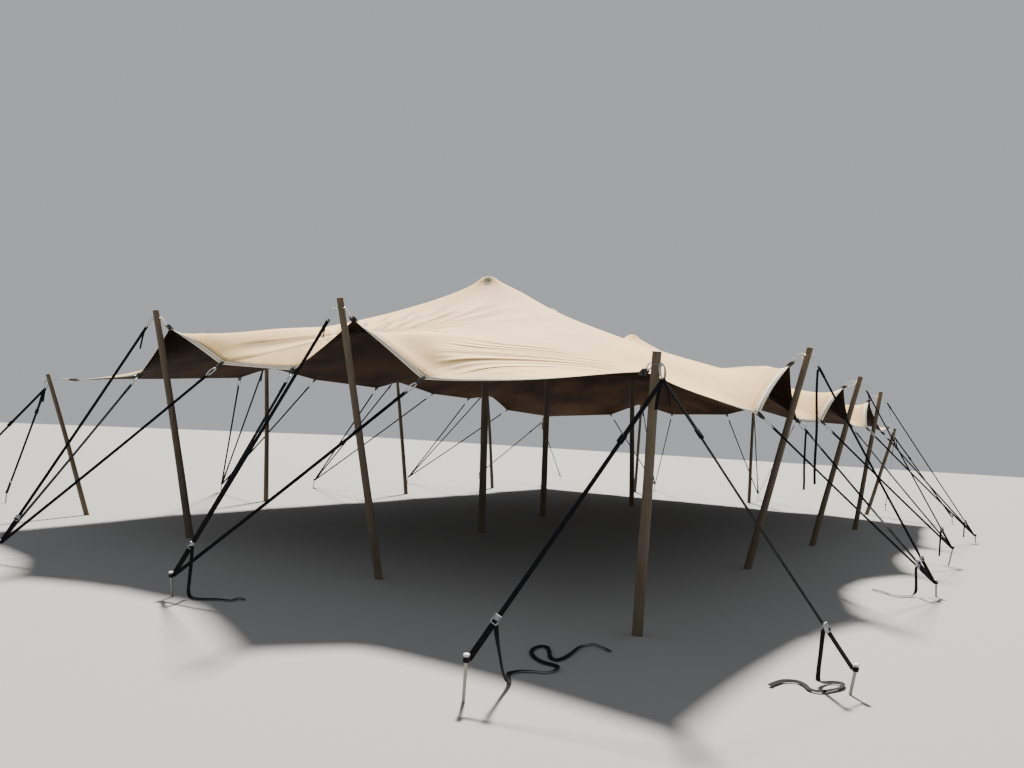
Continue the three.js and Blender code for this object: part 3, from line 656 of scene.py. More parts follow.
def makeBandGroup():  # folds that run side by side over the plan
    group, enter, leave = newGroup(
        "foldBand",
        [("Place", "NodeSocketVector", None), ("Centre", "NodeSocketVector", None),
         ("Direction", "NodeSocketFloat", 0.0), ("Length", "NodeSocketFloat", 1.0),
         ("Breadth", "NodeSocketFloat", 0.5), ("Count", "NodeSocketFloat", 5.0), ("Depth", "NodeSocketFloat", 0.05)],
        [("Height", "NodeSocketFloat")],
    )
    away = addNode(
        group, "ShaderNodeVectorMath", {"operation": "SUBTRACT"}, i0=enter.outputs["Place"], i1=enter.outputs["Centre"],
    )
    turned = addNode(
        group, "ShaderNodeVectorRotate", {"rotation_type": "Z_AXIS"}, Vector=away.outputs[0],
        Angle=addMath(group, "MULTIPLY", enter.outputs["Direction"], -1.0),
    )
    parts = addNode(group, "ShaderNodeSeparateXYZ", Vector=turned.outputs[0])
    along = addMath(group, "DIVIDE", parts.outputs["X"], enter.outputs["Length"])
    across = addMath(group, "DIVIDE", parts.outputs["Y"], enter.outputs["Breadth"])
    reach = addMath(group, "ADD", addMath(group, "MULTIPLY", along, along), addMath(group, "MULTIPLY", across, across))
    streaks = addNode(
        group, "ShaderNodeCombineXYZ", X=addMath(group, "MULTIPLY", parts.outputs["X"], 0.35),
        Y=addMath(group, "MULTIPLY", parts.outputs["Y"], enter.outputs["Count"]),
    )
    folds = addNode(group, "ShaderNodeTexNoise", Vector=streaks.outputs[0], Scale=1.0, Detail=1.0, Roughness=0.4)
    height = addMath(group, "MULTIPLY", addRamp(group, reach, 1.0, 0.3), addMath(group, "SUBTRACT", folds.outputs["Fac"], 0.5))
    group.links.new(addMath(group, "MULTIPLY", height, enter.outputs["Depth"]), leave.inputs["Height"])
    return group


foldFan = makeFoldGroup()
foldBand = makeBandGroup()


def clampFolds(tree, depth):  # small folds that end in each clamp
    fan = addNode(tree, "ShaderNodeAttribute", {"attribute_name": "fan"}).outputs["Vector"]
    parts = addNode(tree, "ShaderNodeSeparateXYZ", Vector=fan)
    streaks = addNode(
        tree, "ShaderNodeCombineXYZ", X=addMath(tree, "MULTIPLY", parts.outputs["X"], sheetLook["clampFolds"]["count"]),
        Y=parts.outputs["Y"], Z=parts.outputs["Z"],
    )
    folds = addNode(tree, "ShaderNodeTexNoise", Vector=streaks.outputs[0], Scale=1.0, Detail=1.0)
    mask = addMath(tree, "MULTIPLY", addRamp(tree, parts.outputs["Y"], 1.0, 0.35), addRamp(tree, parts.outputs["Y"], 0.0, 0.12))
    height = addMath(tree, "MULTIPLY", mask, addMath(tree, "SUBTRACT", folds.outputs["Fac"], 0.5))
    return addMath(tree, "MULTIPLY", height, depth * 2)


# painted shade: a mask of grey patches below the front and middle peaks, towards the camera
def capShadeMask(tree, place):
    flat = addNode(tree, "ShaderNodeVectorMath", {"operation": "MULTIPLY"}, i0=place, i1=(1.0, 1.0, 0.0)).outputs[0]
    found = None
    towards = Vector((*sheetLook["capPaintedShade"]["towards"], 0))
    for name in sheetLook["capPaintedShade"]["kings"]:
        for shift in sheetLook["capPaintedShade"]["shifts"]:
            spot = Vector((*kingPoles[name]["peak"][:2], 0)) + towards * shift
            reach = addNode(tree, "ShaderNodeVectorMath", {"operation": "DISTANCE"}, i0=flat, i1=spot).outputs["Value"]
            found = reach if found is None else addMath(tree, "MINIMUM", found, reach)
    return addRamp(tree, found, sheetLook["capPaintedShade"]["radius"], sheetLook["capPaintedShade"]["radius"] * 0.7)


def clothFolds(tree, place):  # the long folds and the small puckers, as a height
    height = 0.0
    for fold in longFolds:
        values = dict(fold, Direction=math.radians(fold["Direction"]), Spread=math.radians(fold["Spread"]))
        height = addMath(tree, "ADD", height, placeGroup(tree, foldFan, Place=place, **values).outputs[0])
    for fold in foldBands:
        values = dict(fold, Direction=math.radians(fold["Direction"]))
        height = addMath(tree, "ADD", height, placeGroup(tree, foldBand, Place=place, **values).outputs[0])
    flat = addNode(tree, "ShaderNodeVectorMath", {"operation": "MULTIPLY"}, i0=place, i1=(1.0, 1.0, 0.0)).outputs[0]
    for x, y in puckers:
        away = addNode(tree, "ShaderNodeVectorMath", {"operation": "DISTANCE"}, i0=flat, i1=(x, y, 0.0))
        pinch = addRamp(tree, away.outputs["Value"], puckerLook["radius"], 0.0)
        height = addMath(tree, "SUBTRACT", height, addMath(tree, "MULTIPLY", pinch, puckerLook["depth"]))
    return height


def makeSheetMaterial(name, pale, dark, under):
    material, tree, shader, grain, place = newMaterial(name)
    edge = addNode(tree, "ShaderNodeAttribute", {"attribute_name": "edgeDistance"}).outputs["Fac"]
    cloth = addNode(tree, "ShaderNodeAttribute", {"attribute_name": "cloth"}).outputs["Vector"]
    cloudy = addNode(tree, "ShaderNodeTexNoise", Vector=cloth, Scale=0.9, Detail=4.0)
    colour = addMix(tree, addRamp(tree, cloudy.outputs["Fac"], 0.32, 0.7), dark, pale)
    stains = addNode(tree, "ShaderNodeTexNoise", Vector=cloth, Scale=5.0, Detail=6.0, Roughness=0.65)
    stained = addMath(tree, "MULTIPLY", addRamp(tree, stains.outputs["Fac"], 0.55, 0.78), 0.16)
    colour = addMix(tree, stained, colour, tuple(0.62 * c for c in dark))
    folds = clothFolds(tree, place)
    if not under:
        # painted shade: the top is darkened in the fold valleys, and the deeper folds are darker
        paintedValleyShade = addMath(tree, "MULTIPLY", addRamp(tree, folds, 0.0, -0.022), 0.55)
        colour = addMix(tree, paintedValleyShade, colour, sheetLook["paintedFoldShade"])
    lines = None
    for seam in sheetLook["seams"]:
        away = addMath(tree, "ABSOLUTE", addMath(tree, "SUBTRACT", edge, seam))
        line = addRamp(tree, away, sheetLook["seamWidth"] * 1.6, sheetLook["seamWidth"] * 0.6)
        lines = line if lines is None else addMath(tree, "MAXIMUM", lines, line)
    hem = addRamp(tree, edge, sheetLook["hem"] + 0.003, sheetLook["hem"] - 0.003)
    if not under:
        colour = addMix(tree, addMath(tree, "MULTIPLY", hem, 0.9), colour, sheetLook["hemColour"])
        # painted shade below the front and middle peaks
        colour = addMix(tree, addMath(tree, "MULTIPLY", capShadeMask(tree, place), 0.8), colour, sheetLook["capPaintedShade"]["colour"])
    colour = addMix(tree, addMath(tree, "MULTIPLY", lines, 0.75), colour, tuple(0.28 * c for c in dark))
    setColour(tree, shader, colour)
    shader.inputs["Roughness"].default_value = 0.86
    shader.inputs["Specular IOR Level"].default_value = 0.04 if under else 0.3
    shader.inputs["Sheen Weight"].default_value = 0.0 if under else 0.05
    knit = placeGroup(tree, weave, Grain=cloth, Across=sheetLook["knit"], Along=sheetLook["knit"])
    height = addMath(tree, "MULTIPLY", knit.outputs[0], 0.00012)
    ripple = addNode(tree, "ShaderNodeTexNoise", Vector=cloth, Scale=1.7, Detail=2.0)
    height = addMath(tree, "ADD", height, addMath(tree, "MULTIPLY", ripple.outputs["Fac"], 0.012))
    height = addMath(tree, "ADD", height, addMath(tree, "MULTIPLY", hem, 0.0022))
    height = addMath(tree, "SUBTRACT", height, addMath(tree, "MULTIPLY", lines, 0.0016))
    depth = sheetLook["clampFolds"]["depthUnder" if under else "depth"]
    height = addMath(tree, "ADD", height, clampFolds(tree, depth))
    height = addMath(tree, "ADD", height, folds)
    bump = addNode(tree, "ShaderNodeBump", Height=height, Strength=1.0, Distance=-1.0 if under else 1.0)
    tree.links.new(bump.outputs[0], shader.inputs["Normal"])
    return material


# the timber's own grain, knots, cracks, greying and dust, with all its colours laid darker as painted shade for the
# shaded poles
timber = makeTimber("peeledTimberPaintedShade", (0.150, 0.118, 0.078), (0.042, 0.031, 0.021), (0.020, 0.014, 0.010), (0.115, 0.102, 0.082))
timberEnd = makeCutEnd()
webbing = makeWebbing()
rope = makeRope()
steel = makeSteel("ratchetSteel", (0.46, 0.47, 0.48), 0.36, 0.25)
stakeSteel = makeSteel("stakeSteel", (0.33, 0.33, 0.315), 0.5, 0.4)
# painted highlight: the stake heads are pale, for the sun's glint on them
paleHeadPaintedGlint = makePlain("stakeHead", (0.62, 0.61, 0.58), (0.82, 0.81, 0.78), 0.55)
clampPlastic = makePlain("clampBlack", (0.012, 0.012, 0.014), (0.03, 0.03, 0.033), 0.5)
capRubber = makePlain("kingCap", (0.055, 0.052, 0.048), (0.11, 0.105, 0.095), 0.7)
sheetTop = makeSheetMaterial("sheetTop", sheetLook["top"], sheetLook["topShade"], False)
# the underside is a shaded copy of the sheet material: painted shade, with a painted warm glow in cloudy patches
sheetUnderPaintedShade = makeSheetMaterial("sheetUnderPaintedShade", sheetLook["underPaintedGlow"], sheetLook["under"], True)
print("materials")


# ---- the straps' loose ends, lying or hanging free
looseLook = {"width": 0.031, "thickness": 0.003, "tilt": 22.0, "across": (0.51, -0.86, 0.0)}
looseStraps = {
    "front_right_1": [
        (-9.6209, -4.877, 0.4413), (-9.6024, -4.8813, 0.3435), (-9.5743, -4.8904, 0.2343),
        (-9.5331, -4.8937, 0.1246), (-9.464, -4.8855, 0.0449), (-9.37, -4.85, 0.016),
        (-9.239, -4.766, 0.014), (-9.16, -4.769, 0.014), (-9.096, -4.81, 0.014), (-9.051, -4.885, 0.014),
        (-9.015, -4.944, 0.014), (-8.941, -4.962, 0.014), (-8.872, -4.942, 0.014), (-8.853, -4.881, 0.014),
        (-8.845, -4.813, 0.014), (-8.795, -4.725, 0.014), (-8.7, -4.637, 0.014), (-8.584, -4.593, 0.014),
        (-8.491, -4.603, 0.014), (-8.49, -4.657, 0.014), (-8.592, -4.728, 0.014), (-8.704, -4.798, 0.014),
        (-8.732, -4.861, 0.014), (-8.633, -4.879, 0.014), (-8.482, -4.863, 0.014), (-8.319, -4.835, 0.014),
        (-8.213, -4.846, 0.014), (-8.157, -4.891, 0.014), (-8.173, -4.968, 0.014), (-8.251, -5.071, 0.014),
    ],
    "front_right_2": [
        (-8.0603, -6.533, 0.3879), (-8.0599, -6.5262, 0.3054), (-8.0599, -6.5186, 0.2138),
        (-8.057, -6.5092, 0.1119), (-8.035, -6.5081, 0.0366), (-7.952, -6.543, 0.014),
        (-7.908, -6.588, 0.014), (-7.9, -6.64, 0.014), (-7.996, -6.645, 0.014), (-8.109, -6.595, 0.014),
        (-8.185, -6.545, 0.014), (-8.191, -6.48, 0.014), (-8.111, -6.43, 0.014), (-8.069, -6.37, 0.014),
        (-8.113, -6.299, 0.014), (-8.21, -6.26, 0.014), (-8.291, -6.24, 0.014),
    ],
    "front_1": [
        (-9.1986, -1.4023, 0.4427), (-9.2186, -1.4296, 0.3594), (-9.2331, -1.4468, 0.2572),
        (-9.244, -1.4564, 0.1486), (-9.248, -1.4625, 0.0629), (-9.244, -1.495, 0.018),
        (-9.225, -1.561, 0.014), (-9.183, -1.621, 0.014), (-9.13, -1.673, 0.014), (-9.092, -1.745, 0.014),
        (-9.063, -1.802, 0.014), (-8.998, -1.788, 0.014), (-8.945, -1.783, 0.014), (-8.963, -1.857, 0.014),
    ],
    "right_1_ground": [
        (-3.6777, -6.8506, 0.3215), (-3.6792, -6.8525, 0.2517), (-3.6813, -6.8553, 0.1568),
        (-3.6886, -6.8536, 0.0633), (-3.7346, -6.8256, 0.0208), (-3.8, -6.79, 0.014),
        (-3.826, -6.759, 0.014), (-3.891, -6.688, 0.014), (-3.874, -6.63, 0.014), (-3.821, -6.585, 0.014),
        (-3.756, -6.536, 0.014), (-3.711, -6.472, 0.014), (-3.689, -6.4, 0.014),
    ],
    "right_1_head": [
        (-3.5151, -5.7083, 2.6147), (-3.5168, -5.7045, 2.5359), (-3.5203, -5.7016, 2.3393),
        (-3.5146, -5.7063, 2.1197), (-3.5082, -5.7118, 1.9062), (-3.512, -5.709, 1.7), (-3.52, -5.704, 1.5),
        (-3.517, -5.702, 1.34), (-3.51, -5.706, 1.18),
    ],
    "right_1_hem": [
        (-2.2957, -5.3768, 1.8623), (-2.2929, -5.3698, 1.7984), (-2.2889, -5.3649, 1.6467),
        (-2.292, -5.3619, 1.4838), (-2.297, -5.362, 1.3203), (-2.292, -5.366, 1.17), (-2.286, -5.363, 1.04),
    ],
}


def makeLooseStraps():
    for name, route in looseStraps.items():
        points = splinePoints(route)
        hangs = min(p.z for p in points) > 0.5
        lean = math.radians(8.0 if hangs else looseLook["tilt"])
        frames, runs = framesAlong(points, across=looseLook["across"], tilt=lambda run: lean * math.sin(run * 4.0))
        bm = newPiece()
        addSweep(bm, frames, runs, looseLook["width"], looseLook["thickness"])
        strap = finishPiece(f"loose_strap_{name}", bm, [webbing], stands=[f"loose_strap_{name}"])


makeLooseStraps()
print("loose straps")


# ---- the sheet
sheet = {
    "thickness": 0.004,
    "refine": 7,
    "crowding": 1.25,
    "hemBow": 0.018,
    "frontSag": 0.033,
    "capRadius": 0.14,
    "capCrown": 0.35,
    "capTip": 0.06,
    "capSlope": 0.5,
    "cellsAlongX": [6, 3, 3, 2, 3, 3, 3, 3, 3, 6],
    "cellsAlongY": [5, 2, 2, 2, 2, 2, 2, 4],
    "kingColumns": [2, 5, 8],
    "ridgeStation": 4,
    "sweeps": 900,
    "factor": 1.93,
    "capPull": {"front": 0.10, "middle": 0.16, "back": 1.0},
    "capPullReach": 1.6,
    "linePull": {"front": 0.41, "back": 0.41, "right": 0.04, "left": 0.04},
    "linePullSpread": 0.4,
    "flat": (10.4, 16.8),
}


def edgeStations(firstCorner, side, lastCorner):
    stations = [cornerPoles[firstCorner]["sheet"]]
    for name, pole in sidePoles.items():
        if name.startswith(side):
            stations += [pole["lows"][0], pole["high"], pole["lows"][1]]
    return [Vector(p) for p in stations + [cornerPoles[lastCorner]["sheet"]]]


def runOfPoints(stations, cells, inward=None):
    run = []
    for start, end, count in zip(stations, stations[1:], cells):
        count *= sheet["refine"]
        bow = (end - start).length * sheet["hemBow"]
        for n in range(count):
            spot = start.lerp(end, n / count)
            if inward is not None:
                spot += inward * bow * math.sin(math.pi * n / count)
            run.append(spot)
    return run + [stations[-1].copy()]


def sheetPlan():
    along, across = sheet["cellsAlongX"], sheet["cellsAlongY"]
    middle = sheet["ridgeStation"]
    right = runOfPoints(edgeStations("front_right", "right", "back_right"), along, Vector((0, 1, 0)))
    left = runOfPoints(edgeStations("front_left", "left", "back_left"), along, Vector((0, -1, 0)))
    ends = []
    for first, side, last, inward in (
        ("front_right", "front", "front_left", Vector((1, 0, 0))),
        ("back_right", "back", "back_left", Vector((-1, 0, 0))),
    ):
        stations = edgeStations(first, side, last)
        stations.insert(middle, stations[middle - 1].lerp(stations[middle], 0.5))
        ends.append(runOfPoints(stations, across, inward))
    front, back = ends
    span = across[0] * sheet["refine"]
    for k in range(span):
        front[k].z -= sheet["frontSag"] * math.sin(math.pi * (k / span) ** 1.36)
    ridgeRow = sum(across[:middle]) * sheet["refine"]
    kingAt = [sum(along[:k]) for k in sheet["kingColumns"]]
    cells = [kingAt[0], kingAt[1] - kingAt[0], kingAt[2] - kingAt[1], sum(along) - kingAt[2]]
    kings = [Vector(king["peak"]) for king in kingPoles.values()]
    ridge = gradedRun([front[ridgeRow]] + kings + [back[ridgeRow]], cells)
    columns, rows = len(right) - 1, len(front) - 1
    right, left, front, back, ridge = (np.array([p[:] for p in run]) for run in (right, left, front, back, ridge))

    plan = np.zeros((columns + 1, rows + 1, 3))
    s = np.linspace(0, 1, columns + 1)[:, None, None]
    for low, high, near, far in ((0, ridgeRow, right, ridge), (ridgeRow, rows, ridge, left)):
        t = np.linspace(0, 1, high - low + 1)[None, :, None]
        patch = near[:, None] * (1 - t) + far[:, None] * t
        patch = patch + front[None, low:high + 1] * (1 - s) + back[None, low:high + 1] * s
        patch = patch - near[0] * (1 - s) * (1 - t) - near[-1] * s * (1 - t)
        patch = patch - far[0] * (1 - s) * t - far[-1] * s * t
        plan[:, low:high + 1] = patch
    return plan


def gradedRun(stations, cells):  # the points crowd together at each station between the ends
    run = []
    last = len(cells) - 1
    for n, (start, end, count) in enumerate(zip(stations, stations[1:], cells)):
        count *= sheet["refine"]
        for share in np.arange(count) / count:
            power = sheet["crowding"]
            if n == 0:
                share = 1 - (1 - share) ** power
            elif n == last:
                share = share ** power
            else:
                share = (2 * share) ** power / 2 if share < 0.5 else 1 - (2 - 2 * share) ** power / 2
            run.append(start.lerp(end, share))
    return run + [stations[-1].copy()]


def awayFromLine(plan, start, end):
    start, end = np.array(start[:2]), np.array(end[:2])
    along = end - start
    share = np.clip(((plan[..., :2] - start) @ along) / along.dot(along), 0, 1)
    return np.linalg.norm(plan[..., :2] - start - share[..., None] * along, axis=-1)


def pullOf(plan):  # the cloth pulls harder near a cap and along the line from each pole's head to the nearest cap
    pull = np.zeros(plan.shape[:2])
    peaks = {name: Vector(king["peak"][:2]) for name, king in kingPoles.items()}
    for name, peak in peaks.items():
        reach = np.hypot(plan[..., 0] - peak.x, plan[..., 1] - peak.y)
        pull += sheet["capPull"][name] / (sheet["capPullReach"] + reach)
    for name, pole in sidePoles.items():
        head = Vector(pole["high"][:2])
        peak = min(peaks.values(), key=lambda spot: (spot - head).length)
        away = awayFromLine(plan, head, peak)
        pull += sheet["linePull"][name.split("_")[0]] * np.exp(-(away / sheet["linePullSpread"]) ** 2)
    return pull


def capDrop(reach):  # a round tip that runs into a cone
    tip, slope = sheet["capTip"], sheet["capSlope"]
    round_ = reach ** 2 / (2 * sheet["capCrown"])
    return np.where(reach < tip, round_, tip ** 2 / (2 * sheet["capCrown"]) + slope * (reach - tip))


def relaxHeights(plan):  # a film stretched between the hem and the caps
    height = plan[..., 2].copy()
    pull = pullOf(plan)
    held = np.zeros(height.shape, bool)
    held[0] = held[-1] = True
    held[:, 0] = held[:, -1] = True
    for king in kingPoles.values():
        reach = np.hypot(plan[..., 0] - king["peak"][0], plan[..., 1] - king["peak"][1])
        cap = reach <= sheet["capRadius"]
        height[cap] = king["peak"][2] - capDrop(reach[cap])
        held |= cap
    flat = plan[..., :2]

    def gap(a, b):
        return np.hypot(*(a - b).transpose(2, 0, 1))

    pullX = gap(flat[:-1, 2:], flat[:-1, :-2]) + gap(flat[1:, 2:], flat[1:, :-2])
    pullX *= (pull[1:] + pull[:-1])[:, 1:-1] / gap(flat[1:], flat[:-1])[:, 1:-1]
    pullY = gap(flat[2:, :-1], flat[:-2, :-1]) + gap(flat[2:, 1:], flat[:-2, 1:])
    pullY *= (pull[:, 1:] + pull[:, :-1])[1:-1] / gap(flat[:, 1:], flat[:, :-1])[1:-1]
    west, east = pullX[:-1], pullX[1:]
    south, north = pullY[:, :-1], pullY[:, 1:]
    total = west + east + south + north
    index = np.add.outer(np.arange(1, height.shape[0] - 1), np.arange(1, height.shape[1] - 1)) % 2
    free = ~held[1:-1, 1:-1]
    for _ in range(sheet["sweeps"]):
        for parity in (0, 1):
            rest = (
                west * height[:-2, 1:-1] + east * height[2:, 1:-1]
                + south * height[1:-1, :-2] + north * height[1:-1, 2:]
            ) / total
            inner = height[1:-1, 1:-1]
            moved = inner + sheet["factor"] * (rest - inner)
            inner[...] = np.where(free & (index == parity), moved, inner)
    return height


folds = {
    "lowFan": {"count": 6, "reach": 1.1, "height": 0.004},
    "highFan": {"count": 7, "reach": 2.2, "height": 0.010},
    "cornerFan": {"count": 8, "reach": 2.4, "height": 0.012},
}
creases = [  # start and end on the plan, height and half width
    {"start": (-7.72, -1.80), "end": (-6.10, -2.52), "height": 0.035, "width": 0.16},
    {"start": (-7.45, -3.25), "end": (-7.35, -1.75), "height": -0.065, "width": 0.22},
    {"start": (-7.45, 0.48), "end": (-6.20, -0.62), "height": -0.030, "width": 0.13},
    {"start": (-6.60, 0.45), "end": (-3.18, -0.47), "height": -0.100, "width": 0.60},
    {"start": (-8.20, 1.60), "end": (-5.60, 0.50), "height": 0.075, "width": 0.55},
    {"start": (-3.40, -5.40), "end": (-3.33, -4.50), "height": 0.090, "width": 0.35},
    {"start": (2.60, -1.20), "end": (5.20, -1.90), "height": -0.180, "width": 0.80},
]
smoothClamp = sidePoles["front_1"]["lows"][0]  # the cloth runs smoothly into this clamp
hemCalm = 0.25  # width of the strip along the hem in which the creases fade
fanReach = {"low": 0.34, "high": 0.55, "corner": 1.0}


def addFan(plan, height, spot, towards, count, reach, size):  # folds that spread from a clamp into the sheet
    dx, dy = plan[..., 0] - spot[0], plan[..., 1] - spot[1]
    away = np.hypot(dx, dy)
    turn = np.arctan2(dy, dx) - math.atan2(towards[1], towards[0])
    turn = (turn + math.pi) % (2 * math.pi) - math.pi
    share = np.clip(away / reach, 0, 1)
    swell = (share ** 0.7) * (1 - share) ** 2 * 2.6
    spread = np.clip(1 - np.abs(turn) / (0.5 * math.pi), 0, 1) ** 0.6
    wave = np.cos(turn * count + 1.3 * np.sin(away * 3.1 + spot[0]))
    height += size * swell * spread * wave


def addFolds(plan, height):
    centre = (0.5, 0.0)
    for pole in sidePoles.values():
        for low in pole["lows"]:
            fan = folds["lowFan"]
            size = 0 if low == smoothClamp else fan["height"]
            addFan(plan, height, low, (0, centre[1] - low[1]) if abs(low[1]) > 4.5 else (centre[0] - low[0], 0),
                   fan["count"], fan["reach"], size)
        high = pole["high"]
        fan = folds["highFan"]
        addFan(plan, height, high, (0, -high[1]) if abs(high[1]) > 4.5 else (-high[0], 0),
               fan["count"], fan["reach"], fan["height"])
    for pole in cornerPoles.values():
        fan = folds["cornerFan"]
        spot = pole["sheet"]
        addFan(plan, height, spot, (centre[0] - spot[0], centre[1] - spot[1]), fan["count"], fan["reach"], fan["height"])

    fromHem = np.minimum.reduce([
        runLengths(plan, 0), runLengths(plan[::-1], 0)[::-1],
        runLengths(plan, 1), runLengths(plan[:, ::-1], 1)[:, ::-1],
    ])
    calm = np.clip(fromHem / hemCalm, 0, 1)
    for crease in creases:
        start, end = Vector(crease["start"]), Vector(crease["end"])
        away = awayFromLine(plan, start, end)
        along = ((plan[..., 0] - start.x) * (end.x - start.x) + (plan[..., 1] - start.y) * (end.y - start.y))
        share = np.clip(along / (end - start).length_squared, 0, 1)
        height += calm * crease["height"] * np.sin(math.pi * share) * np.exp(-(away / crease["width"]) ** 2)


def fanOf(points):  # turn about the nearest clamp, share of its folds' reach, and a number of its own
    clamps = [(pole["sheet"], fanReach["corner"]) for pole in cornerPoles.values()]
    for pole in sidePoles.values():
        clamps.append((pole["high"], fanReach["high"]))
        clamps += [(low, fanReach["low"]) for low in pole["lows"]]
    found = np.zeros(points.shape)
    best = np.full(points.shape[:2], 1e9)
    for n, (spot, reach) in enumerate(clamps):
        dx, dy = points[..., 0] - spot[0], points[..., 1] - spot[1]
        share = np.hypot(dx, dy) / reach
        nearer = share < best
        best[nearer] = share[nearer]
        towards = math.atan2(-spot[1], -spot[0])
        turn = (np.arctan2(dy, dx) - towards + math.pi) % (2 * math.pi)
        found[nearer] = np.stack([turn, share, np.full(share.shape, n * 3.7)], axis=-1)[nearer]
    return found


def runLengths(points, axis):
    steps = np.linalg.norm(np.diff(points, axis=axis), axis=-1)
    first = np.zeros_like(np.take(steps, [0], axis=axis))
    return np.concatenate([first, np.cumsum(steps, axis=axis)], axis=axis)


def makeSheet():
    plan = sheetPlan()
    height = relaxHeights(plan)
    addFolds(plan, height)
    points = plan.copy()
    points[..., 2] = height
    columns, rows = plan.shape[0] - 1, plan.shape[1] - 1
    alongX, alongY = runLengths(points, 0), runLengths(points, 1)
    fromEdge = np.minimum(
        np.minimum(alongX, alongX[-1:] - alongX), np.minimum(alongY, alongY[:, -1:] - alongY),
    )
    bm = bmesh.new()
    edge = bm.verts.layers.float.new("edgeDistance")
    cloth = bm.verts.layers.float_vector.new("cloth")
    fan = bm.verts.layers.float_vector.new("fan")
    turns = fanOf(points)
    bmesh.ops.create_grid(bm, x_segments=columns, y_segments=rows, size=1.0)
    for vert in bm.verts:
        i = round((vert.co.x + 1) / 2 * columns)
        j = round((vert.co.y + 1) / 2 * rows)
        vert.co = points[i, j]
        vert[edge] = fromEdge[i, j]
        vert[cloth] = (alongX[i, j], 0.0, alongY[i, j])
        vert[fan] = turns[i, j]
    for face in bm.faces:
        face.normal_update()
        if face.normal.z < 0:
            face.normal_flip()
    piece = finishPiece("canopy", bm, [sheetTop, sheetUnderPaintedShade], stands=["canopy"], recalc=False)
    wall = piece.modifiers.new("wall", "SOLIDIFY")
    wall.thickness = sheet["thickness"]
    wall.offset = 0
    wall.material_offset = 1
    wall.material_offset_rim = 0
    return piece


canopy = makeSheet()
print("sheet", len(canopy.data.vertices))


# ---- poles
perimeterPole = {"footRadius": 0.049, "topRadius": 0.039, "bow": 0.012, "sides": 28, "segments": 44}
kingPole = {"footRadius": 0.062, "topRadius": 0.053, "bow": 0.008, "sides": 32, "segments": 52}


poleGirth = {"side_pole_front_1": 0.86, "corner_pole_front_left": 0.78, "corner_pole_front_right": 0.94}


def makePole(name, foot, top, size, seed):
    foot, top = Vector(foot), Vector(top)
    axis = (top - foot).normalized()
    length = (top - foot).length
    turn = Vector((0, 1, 0)).rotation_difference(axis).to_matrix()
    bowWay = turn @ Vector((1, 0, 0))
    otherWay = axis.cross(bowWay)
    chance = random.Random(seed)
    drift = [chance.uniform(-1, 1) for _ in range(6)]
    points = []
    steps = size["segments"]
    for k in range(-1, steps + 1):
        share = k / steps
        inside = math.sin(math.pi * min(max(share, 0), 1))
        bend = size["bow"] * inside + 0.004 * drift[0] * math.sin(2 * math.pi * share)
        sway = 0.006 * drift[1] * inside + 0.003 * drift[2] * math.sin(3 * math.pi * share)
        points.append(foot + axis * length * share + bowWay * bend + otherWay * sway)
    frames, runs = framesAlong(points)
    bm = newPiece()
    addSweep(bm, frames, runs, 2.0, sides=size["sides"])
    layer = bm.verts.layers.float_vector["grain"]
    for vert in bm.verts:
        local = vert[layer].copy()
        share = min(max((local.z - runs[1]) / length, 0), 1)
        radius = size["footRadius"] + (size["topRadius"] - size["footRadius"]) * share
        outward = Vector((local.x, local.y, 0))
        lumps = noise.noise(Vector((local.x * 0.9, local.y * 0.9, local.z * 1.7 + seed * 7.3)))
        knots = noise.noise(Vector((local.x * 2.2 + 11, local.y * 2.2, local.z * 5.0 + seed * 3.1)))
        radius *= poleGirth.get(name, 1.0) * (1 + 0.035 * lumps + 0.05 * max(knots - 0.32, 0))
        k = min(range(len(runs)), key=lambda n: abs(runs[n] - local.z))
        vert.co = frames[k] @ (outward * radius)
        vert[layer] = outward * radius + Vector((0, 0, local.z + seed * 2.7))
    topFace = max(bm.faces, key=lambda face: face.calc_center_median().z if len(face.verts) > 4 else -1)
    topFace.material_index = 1
    bmesh.ops.bevel(
        bm, geom=list(topFace.edges), offset=0.003, offset_type="OFFSET", segments=2, affect="EDGES",
        profile=0.5, material=-1,
    )
    cut = bmesh.ops.bisect_plane(
        bm, geom=bm.verts[:] + bm.edges[:] + bm.faces[:], plane_co=(0, 0, 0), plane_no=(0, 0, 1), clear_inner=True,
    )
    rim = [item for item in cut["geom_cut"] if isinstance(item, bmesh.types.BMEdge)]
    bmesh.ops.contextual_create(bm, geom=rim)
    pole = finishPiece(name, bm, [timber, timberEnd], stands=[name])
    return pole


kingCap = {"radius": 0.060, "height": 0.058, "sheetGap": 0.008}


def makeKings():
    for seed, (name, king) in enumerate(kingPoles.items()):
        x, y, z = king["peak"]
        crown = z - kingCap["sheetGap"]
        floor = z - 0.0108 - kingCap["height"]
        makePole(f"king_pole_{name}", king["foot"], (x, y, floor), kingPole, 40 + seed)
        bm = newPiece()
        radius = kingCap["radius"]
        profile = [(0.0, floor - crown), (0.052, floor - crown), (0.055, floor - crown + 0.002)]
        profile += [(0.058, -0.046), (radius, -0.038), (radius, -0.014)]
        profile += [(radius * c, -(radius * c) ** 2 / (2 * sheet["capCrown"]) - 0.0005) for c in (0.97, 0.8, 0.55, 0.3)]
        profile += [(0.0, 0.0)]
        addTurned(bm, profile, Matrix.Translation((x, y, crown)), sides=40)
        cap = finishPiece(f"king_cap_{name}", bm, [capRubber], stands=[f"king_cap_{name}"])


makeKings()
for seed, (name, pole) in enumerate(sidePoles.items()):
    makePole(f"side_pole_{name}", pole["foot"], pole["top"], perimeterPole, seed)
for seed, (name, pole) in enumerate(cornerPoles.items()):
    makePole(f"corner_pole_{name}", pole["foot"], pole["top"], perimeterPole, 20 + seed)
print("poles")


# ---- stakes
stakeLook = {"shaftRadius": 0.0108, "headRadius": 0.0205, "headHeight": 0.015}


